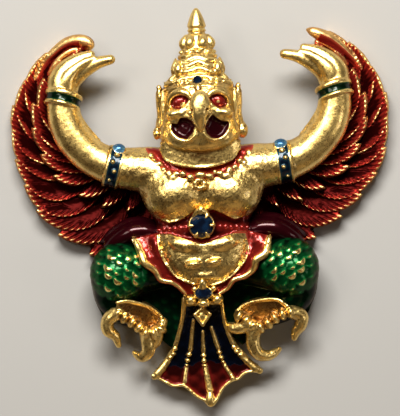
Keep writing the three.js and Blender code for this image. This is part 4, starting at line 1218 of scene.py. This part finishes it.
RIBS = [
    ([(-2.3, -9.4), (-2.45, -11.2), (-2.82, -12.8), (-3.3, -14.3)], [(-3.42, -14.72), (-3.62, -15.25)],
     [(-3.95, -15.6), (-4.6, -16.5), (-5.3, -17.3)], 0.42),
    ([(-1.35, -11.8), (-1.5, -12.8), (-1.76, -14.9)], [(-1.95, -15.4), (-2.1, -16.0)],
     [(-2.22, -16.5), (-2.35, -17.3), (-2.5, -18.3)], 0.24),
    ([(-0.4, -13.0), (-0.4, -14.0), (-0.4, -15.1)], [(-0.4, -15.55), (-0.37, -16.1)],
     [(-0.3, -16.6), (-0.1, -17.8), (0.15, -19.2)], 0.36),
    ([(0.5, -12.6), (0.8, -13.6), (1.16, -14.8)], [(1.29, -15.25), (1.47, -15.8)],
     [(1.65, -16.3), (2.0, -17.0), (2.5, -17.8)], 0.26),
    ([(1.62, -9.4), (1.8, -11.2), (2.1, -12.7), (2.68, -14.3)], [(2.85, -14.75), (3.12, -15.2)],
     [(3.5, -15.6), (4.3, -16.4), (5.1, -17.1)], 0.4),
]
RED_BELOW = -16.25


def tail_floor(y):
    return 2.05 + 2.0 * unit((y + 16.5) / 6.5) ** 1.5


def tail_rope(points, radii, lift, flat=1.0, steps=5):
    return rope([(x, y, tail_floor(y) + lift) for x, y in points], radii, flat, steps)


def tail_paint(x, y, z):
    field = np.minimum(-to_outline(x, y, TAIL) - 0.3, (tail_floor(y) + 0.08 - z) * 3 + 0.12)
    field = np.where(z < tail_floor(y) - 0.35, -1, field)
    for line, _, strip, wide in RIBS:
        field = np.minimum(field, to_line(x, y, smooth_line(line, 3))[0] - 0.2)
        field = np.minimum(field, to_line(x, y, strip)[0] - wide * 0.85)
    field = np.where(field > 0, field + 0.75 + 0.2 * np.sin(3.1 * x) * np.sin(4.3 * y), field)
    border = RED_BELOW + 0.25 * np.cos(1.1 * x) - 0.15 + 0.12 * np.sin(5.0 * x)
    deeper = 0.8 * unit(1 - (border - y) / 1.1) * (field > 0)
    return {"blue": np.where(y > border, field, -1), "red": np.where(y < border + 0.1, field + deeper, -1)}


tail = Clay("tail_apron", (-6.2, -21.2, 0), (6.0, -7.6, 5.6))
tail.add(relief((-6.1, -21.1, 0), (5.9, -8.6, 4.6), lambda x, y: tail_floor(y), TAIL))
for line, beads, strip, wide in RIBS:
    tail.add(tail_rope(line, np.linspace(0.19, 0.26, len(line)), 0.12, 1.5), blend=0.05)
    for x, y in beads:
        tail.add(ball((x, y, tail_floor(y) + 0.25), (0.32, 0.26, 0.36)), blend=0.03)
    tail.add(tail_rope(strip, [wide * 0.7, wide, wide * 1.1], -0.02), blend=0.05)
    x, y = strip[0]
    tail.add(ball((x, y + 0.02, tail_floor(y) + 0.22), (wide * 0.95, 0.16, 0.26)), blend=0.04)
for edge in TAIL_SIDES.values():
    side = [(0.95 * x, y, tail_floor(y)) for x, y in edge[4:]]
    tail.add(rope(side, [0.26, 0.3, 0.34], flat=0.9), blend=0.05)
hem = [(0.98 * x, y + 0.12, tail_floor(y) + 0.08) for x, y in HEM]
tail.add(rope(hem, 0.16, flat=1.3, steps=1), blend=0.05)
tail.add(ball((0.15, -20.15, 2.15), (0.5, 0.8, 0.42)), blend=0.15)
tail.add(ball((2.6, -18.0, 2.2), (0.3, 0.3, 0.4)), blend=0.05)
cast(tail, smooth, tail_paint, grain=0.02, flat_back=True)

# %% [markdown]
# The sash is a cloth bound below the belly, red with a rolled gold edge that waves. Beside it a dark roll of
# cloth lies over the thigh. Cloth simulation isn't needed for either: a founder models such folds stiffly in
# wax.

# %% Sash
SASH = {-1: [(-4.7, -2.4), (-7.6, -3.0), (-6.75, -4.9), (-6.5, -5.65), (-5.5, -6.45), (-4.85, -7.5),
             (-3.75, -7.8), (-3.0, -8.3), (-2.35, -9.0), (-1.2, -9.2), (-0.4, -8.2), (-1.1, -7.85),
             (-2.1, -7.5), (-3.2, -6.75), (-4.15, -5.4), (-4.65, -4.0)],
        1: [(4.4, -2.4), (7.2, -3.2), (6.7, -5.0), (5.7, -5.7), (5.4, -6.6), (4.45, -7.4), (3.25, -7.75),
            (2.6, -8.6), (1.7, -9.15), (0.8, -9.0), (0.2, -8.3), (0.9, -8.0), (1.85, -7.65), (3.0, -6.85),
            (4.1, -5.65), (4.55, -4.3)]}
SASH_EDGE = slice(1, 9)
SASH_FOLD = [(4.95, -2.7), (5.0, -4.3), (4.3, -6.2), (2.8, -7.6), (1.2, -8.2)]
ALONG_EDGE = [0, 0.1, 0.35, 0.6, 1]


def sash_height(y):
    return np.interp(y, [-9.2, -8, -6.5, -5, -3.8, -2.6], [5.2, 5.55, 5.95, 6.15, 5.95, 5.5])


def make_sash(name, side):
    outline = SASH[side]
    low, high = (*(np.min(outline, 0) - 0.4), 1.0), (*(np.max(outline, 0) + 0.4), 6.9)
    edge = smooth_line(outline[SASH_EDGE], 5)
    fold = smooth_line(flipped(SASH_FOLD, side), 4)
    pull = (-0.25 * side, 0.12)

    def height(x, y):
        waves = 0.14 * np.sin(2.3 * x + 1.7 * y) + 0.25 * unit(1 - to_line(x, y, fold)[0] / 0.8)
        return sash_height(y) - 0.55 + waves

    def paint(x, y, z):
        gap, share, _ = to_line(x - pull[0], y - pull[1], edge)
        wide = np.interp(share, ALONG_EDGE, [0.3, 0.5, 0.44, 0.3, 0.2])
        field = np.minimum(gap - wide, -to_outline(x, y, outline) + 0.3) + 0.1
        return {"red": np.where(z > 4.2, field, -1)}

    clay = Clay(f"sash_{name}", low, high)
    clay.add(relief(low, high, height, outline))
    radii = np.interp(np.linspace(0, 1, len(edge)), ALONG_EDGE, [0.14, 0.42, 0.42, 0.3, 0.2])
    rolled = [(x + pull[0], y + pull[1], sash_height(y) - 0.15 + 0.12 * math.sin(3 * y)) for x, y in edge]
    clay.add(rope(rolled, radii, steps=1), blend=0.08)
    cast(clay, smooth, paint, grain=0.02)


for name, side in HANDS.items():
    make_sash(name, side)

# %% Rolls of cloth
ROLL = [(4.6, -2.7, 2.7, 1), (6.3, -2.25, 3.0, 1), (7.8, -2.45, 3.0, 1), (9.4, -3.35, 2.6, 0.8),
        (10.5, -4.2, 1.9, 0.35)]
ROLL_FOLDS = [(0.0, 0.0, 1.15), (0.95, -0.35, 0.62), (-0.75, 0.15, 0.5)]
for name, side in HANDS.items():
    clay = Clay(f"roll_{name}", (3.6, -5.6, 0), (11.6, -0.2, 5.2), mirror=side < 0)
    for shift, lift, radius in ROLL_FOLDS:
        line = [(x + 0.3 * shift, y + shift, z + lift + 0.3, share * radius) for x, y, z, share in ROLL]
        clay.add(rope(line, flat=1.3), blend=0.12)
    cast(clay, smooth, lambda x, y, z: {"maroon": 0.4}, flat_back=True)

# %% [markdown]
# Settings: each stone sits in a turned bezel, and the chest stone's has claws bent over its girdle and a
# pointed leaf above it. The buckle adds a pointed petal above, a ball at either side, a boss below and a
# hanging diamond drop with a raised rim.

# %% Settings
WALL = 0.03
BEZEL_PARTS = 24


def bezel(clay, place, length, width, claws=()):
    x, y, z = place
    across, up = length / 2 + WALL, width / 2 + WALL
    spots = [(x + across * c, y + up * s, z - 0.45) for c, s in circle(BEZEL_PARTS)]
    for a, b in zip(spots, spots[1:] + spots[:1]):
        clay.add(rope([a, b], 0.14, flat=2.4, steps=1), blend=0.02)
    for degrees in claws:
        c, s = circle(1, degrees)[0]
        clay.add(rope([(x + across * c, y + up * s, z, 0.24),
                       (x + across * 0.95 * c, y + up * 0.95 * s, z + 0.25, 0.22),
                       (x + 0.36 * length * c, y + 0.36 * width * s, z + 0.42, 0.1)]), blend=0.03)


setting = Clay("chest_setting", (-1.9, -3.4, 5.0), (1.9, 0.7, 8.0))
bezel(setting, (-0.16, -1.82, 6.9), 2.5, 2.5, (0, 60, 180, 240, 300))
setting.add(rope([(-0.9, -0.75, 6.9, 0.2), (-0.55, -0.35, 7.1, 0.3), (-0.16, -0.1, 7.2, 0.34)]),
            rope([(0.58, -0.75, 6.9, 0.2), (0.25, -0.4, 7.1, 0.3), (-0.16, -0.25, 7.2, 0.34)]),
            rope([(-0.16, -0.3, 7.2, 0.4), (-0.16, -0.1, 7.3, 0.3), (-0.16, 0.15, 7.2, 0.12)]), blend=0.06)
cast(setting, smooth)
setting = Clay("forehead_setting", (-0.9, 12.5, 7.4), (0.8, 14.2, 9.2))
bezel(setting, (-0.1, 13.35, 8.35), 0.95, 0.95)
cast(setting, smooth)

# %% Buckle
DROP = [(-0.38, -10.5, 4.6), (-1.18, -11.15, 4.55), (-0.38, -12.3, 4.3), (0.42, -11.15, 4.55)]
buckle = Clay("buckle", (-2.4, -12.7, 1.5), (2.4, -6.9, 7.2))
bezel(buckle, (-0.19, -8.92, 5.9), 1.7, 1.2)
buckle.add(ball((-0.19, -8.9, 4.2), (1.0, 0.9, 1.3)),
           rope([(-0.25, -8.1, 5.9, 0.55), (-0.28, -7.75, 6.2, 0.36), (-0.3, -7.35, 6.2, 0.08)]), blend=0.1)
for x in (-1.55, 1.25):
    buckle.add(ball((x, -9.6, 5.0), (0.64, 0.62, 0.95)), blend=0.05)
    buckle.add(ball((x * 0.72, -8.45, 5.6), (0.3, 0.3, 0.35)), blend=0.1)
    buckle.add(rope([(x * 0.5, -9.9, 4.7), (x * 1.15, -10.0, 4.6)], 0.3), blend=0.1)
buckle.add(ball((-0.2, -9.98, 5.3), (0.72, 0.46, 0.85)), blend=0.03)
for a, b in zip(DROP, DROP[1:] + DROP[:1]):
    buckle.add(rope([a, b], 0.17, flat=1.4, steps=1), blend=0.1)
buckle.add(ball((-0.38, -11.25, 3.95), (0.62, 0.75, 0.62)), blend=0.1)
buckle.add(ball((-0.38, -11.2, 3.4), (0.8, 0.95, 1.1)), blend=0.05)
cast(buckle, smooth)

# %% [markdown]
# The three stones keep the shape of the model: cut glass with a flat top. They get a dark blue, polished
# finish, and small facets that only tilt the light.

# %% Stones
stone, tree, shader = new_material("dark_blue_stone")
place = node(tree, "ShaderNodeTexCoord").outputs["Object"]
cloud = node(tree, "ShaderNodeTexNoise", {"Vector": place, "Scale": 1400.0, "Detail": 2.0}).outputs[0]
facets = node(tree, "ShaderNodeTexVoronoi", {"Vector": place, "Scale": 1500.0}).outputs["Distance"]
cut = node(tree, "ShaderNodeBump", {"Height": facets, "Strength": 0.35, "Distance": 0.0003}).outputs[0]
plug(tree, shader, {
    "Normal": cut,
    "Base Color": mix(tree, step(tree, cloud, 0.35, 0.65), (0.001, 0.003, 0.009, 1),
                      (0.002, 0.01, 0.028, 1)),
    "Roughness": step(tree, cloud, 0.3, 0.7, 0.03, 0.07),
    "Coat Weight": 0.4,
    "Coat Roughness": 0.02,
    "Specular IOR Level": 0.5,
})
STONES = ("forehead_stone", "chest_stone", "buckle_stone")
for name in STONES:
    for held in bpy.data.objects[name].material_slots:
        held.material = stone
print("polished:", ", ".join(STONES))

# %% [markdown]
# The stage: a pale floor that the figure lies on, one broad light beyond the crown, as in the photograph,
# weaker ones round it, and a camera straight above. The figure lay turned by about two degrees, so the
# camera is turned. The lens is very long, since a short one would push the high face outward.

# %% Floor and light
LIGHTS = {
    "window_beyond_the_crown": ((-0.01, 0.15, 0.2), (0.17, 0.07), 1.35, (1.0, 0.97, 0.9)),
    "overhead_left": ((-0.2, 0.1, 0.3), (0.1, 0.1), 0.3, (1.0, 0.93, 0.82)),
    "low_right": ((0.25, -0.05, 0.16), (0.08, 0.08), 0.08, (1.0, 0.93, 0.85)),
    "near_the_tail": ((0.05, -0.3, 0.14), (0.3, 0.16), 0.07, (1.0, 0.7, 0.36)),
}
FLOOR_SIZE = 1.6
bpy.ops.mesh.primitive_plane_add(size=FLOOR_SIZE, location=(0, 0, 0))
floor = bpy.context.object
floor.name = "floor"
pale, tree, shader = new_material("pale_floor")
plug(tree, shader, {"Base Color": (0.33, 0.325, 0.32, 1), "Roughness": 0.85})
floor.data.materials.append(pale)

for name, (place, (wide, high), watts, tint) in LIGHTS.items():
    light = bpy.data.lights.new(name, "AREA")
    light.shape = "RECTANGLE"
    light.size, light.size_y = wide, high
    light.energy, light.color = watts, tint
    holder = bpy.data.objects.new(name, light)
    holder.location = Vector(place)
    holder.rotation_euler = (-holder.location).to_track_quat("-Z", "Y").to_euler()
    bpy.context.scene.collection.objects.link(holder)
world = bpy.data.worlds.new("studio")
world.use_nodes = True
plug(world.node_tree, world.node_tree.nodes["Background"], {"Color": (1.0, 0.62, 0.34, 1), "Strength": 0.04})
bpy.context.scene.world = world
print("lights:", {name: f"{watts} W" for name, (_, _, watts, _) in LIGHTS.items()})

# %% Camera
PHOTO_SIZE = (400, 416)
MIDDLE_PIXEL = (202.5, 208.0)
PIXEL = 0.105 * MM
TURN = math.radians(1.9)
LENS, SENSOR = 500.0, 36.0
FOCUS_HEIGHT = 4.5 * MM
across = (PHOTO_SIZE[0] / 2 - MIDDLE_PIXEL[0]) * PIXEL
away = PHOTO_SIZE[1] * PIXEL * LENS / SENSOR
camera_data = bpy.data.cameras.new("camera")
camera_data.lens, camera_data.sensor_width = LENS, SENSOR
camera_data.clip_start, camera_data.clip_end = 0.01, 10
camera = bpy.data.objects.new("camera", camera_data)
camera.location = (across * math.cos(TURN), -across * math.sin(TURN), FOCUS_HEIGHT + away)
camera.rotation_euler = (0, 0, -TURN)
bpy.context.scene.collection.objects.link(camera)
bpy.context.scene.camera = camera
bpy.context.scene.view_settings.view_transform = "Standard"
print("camera height:", round(camera.location.z, 3), "m")
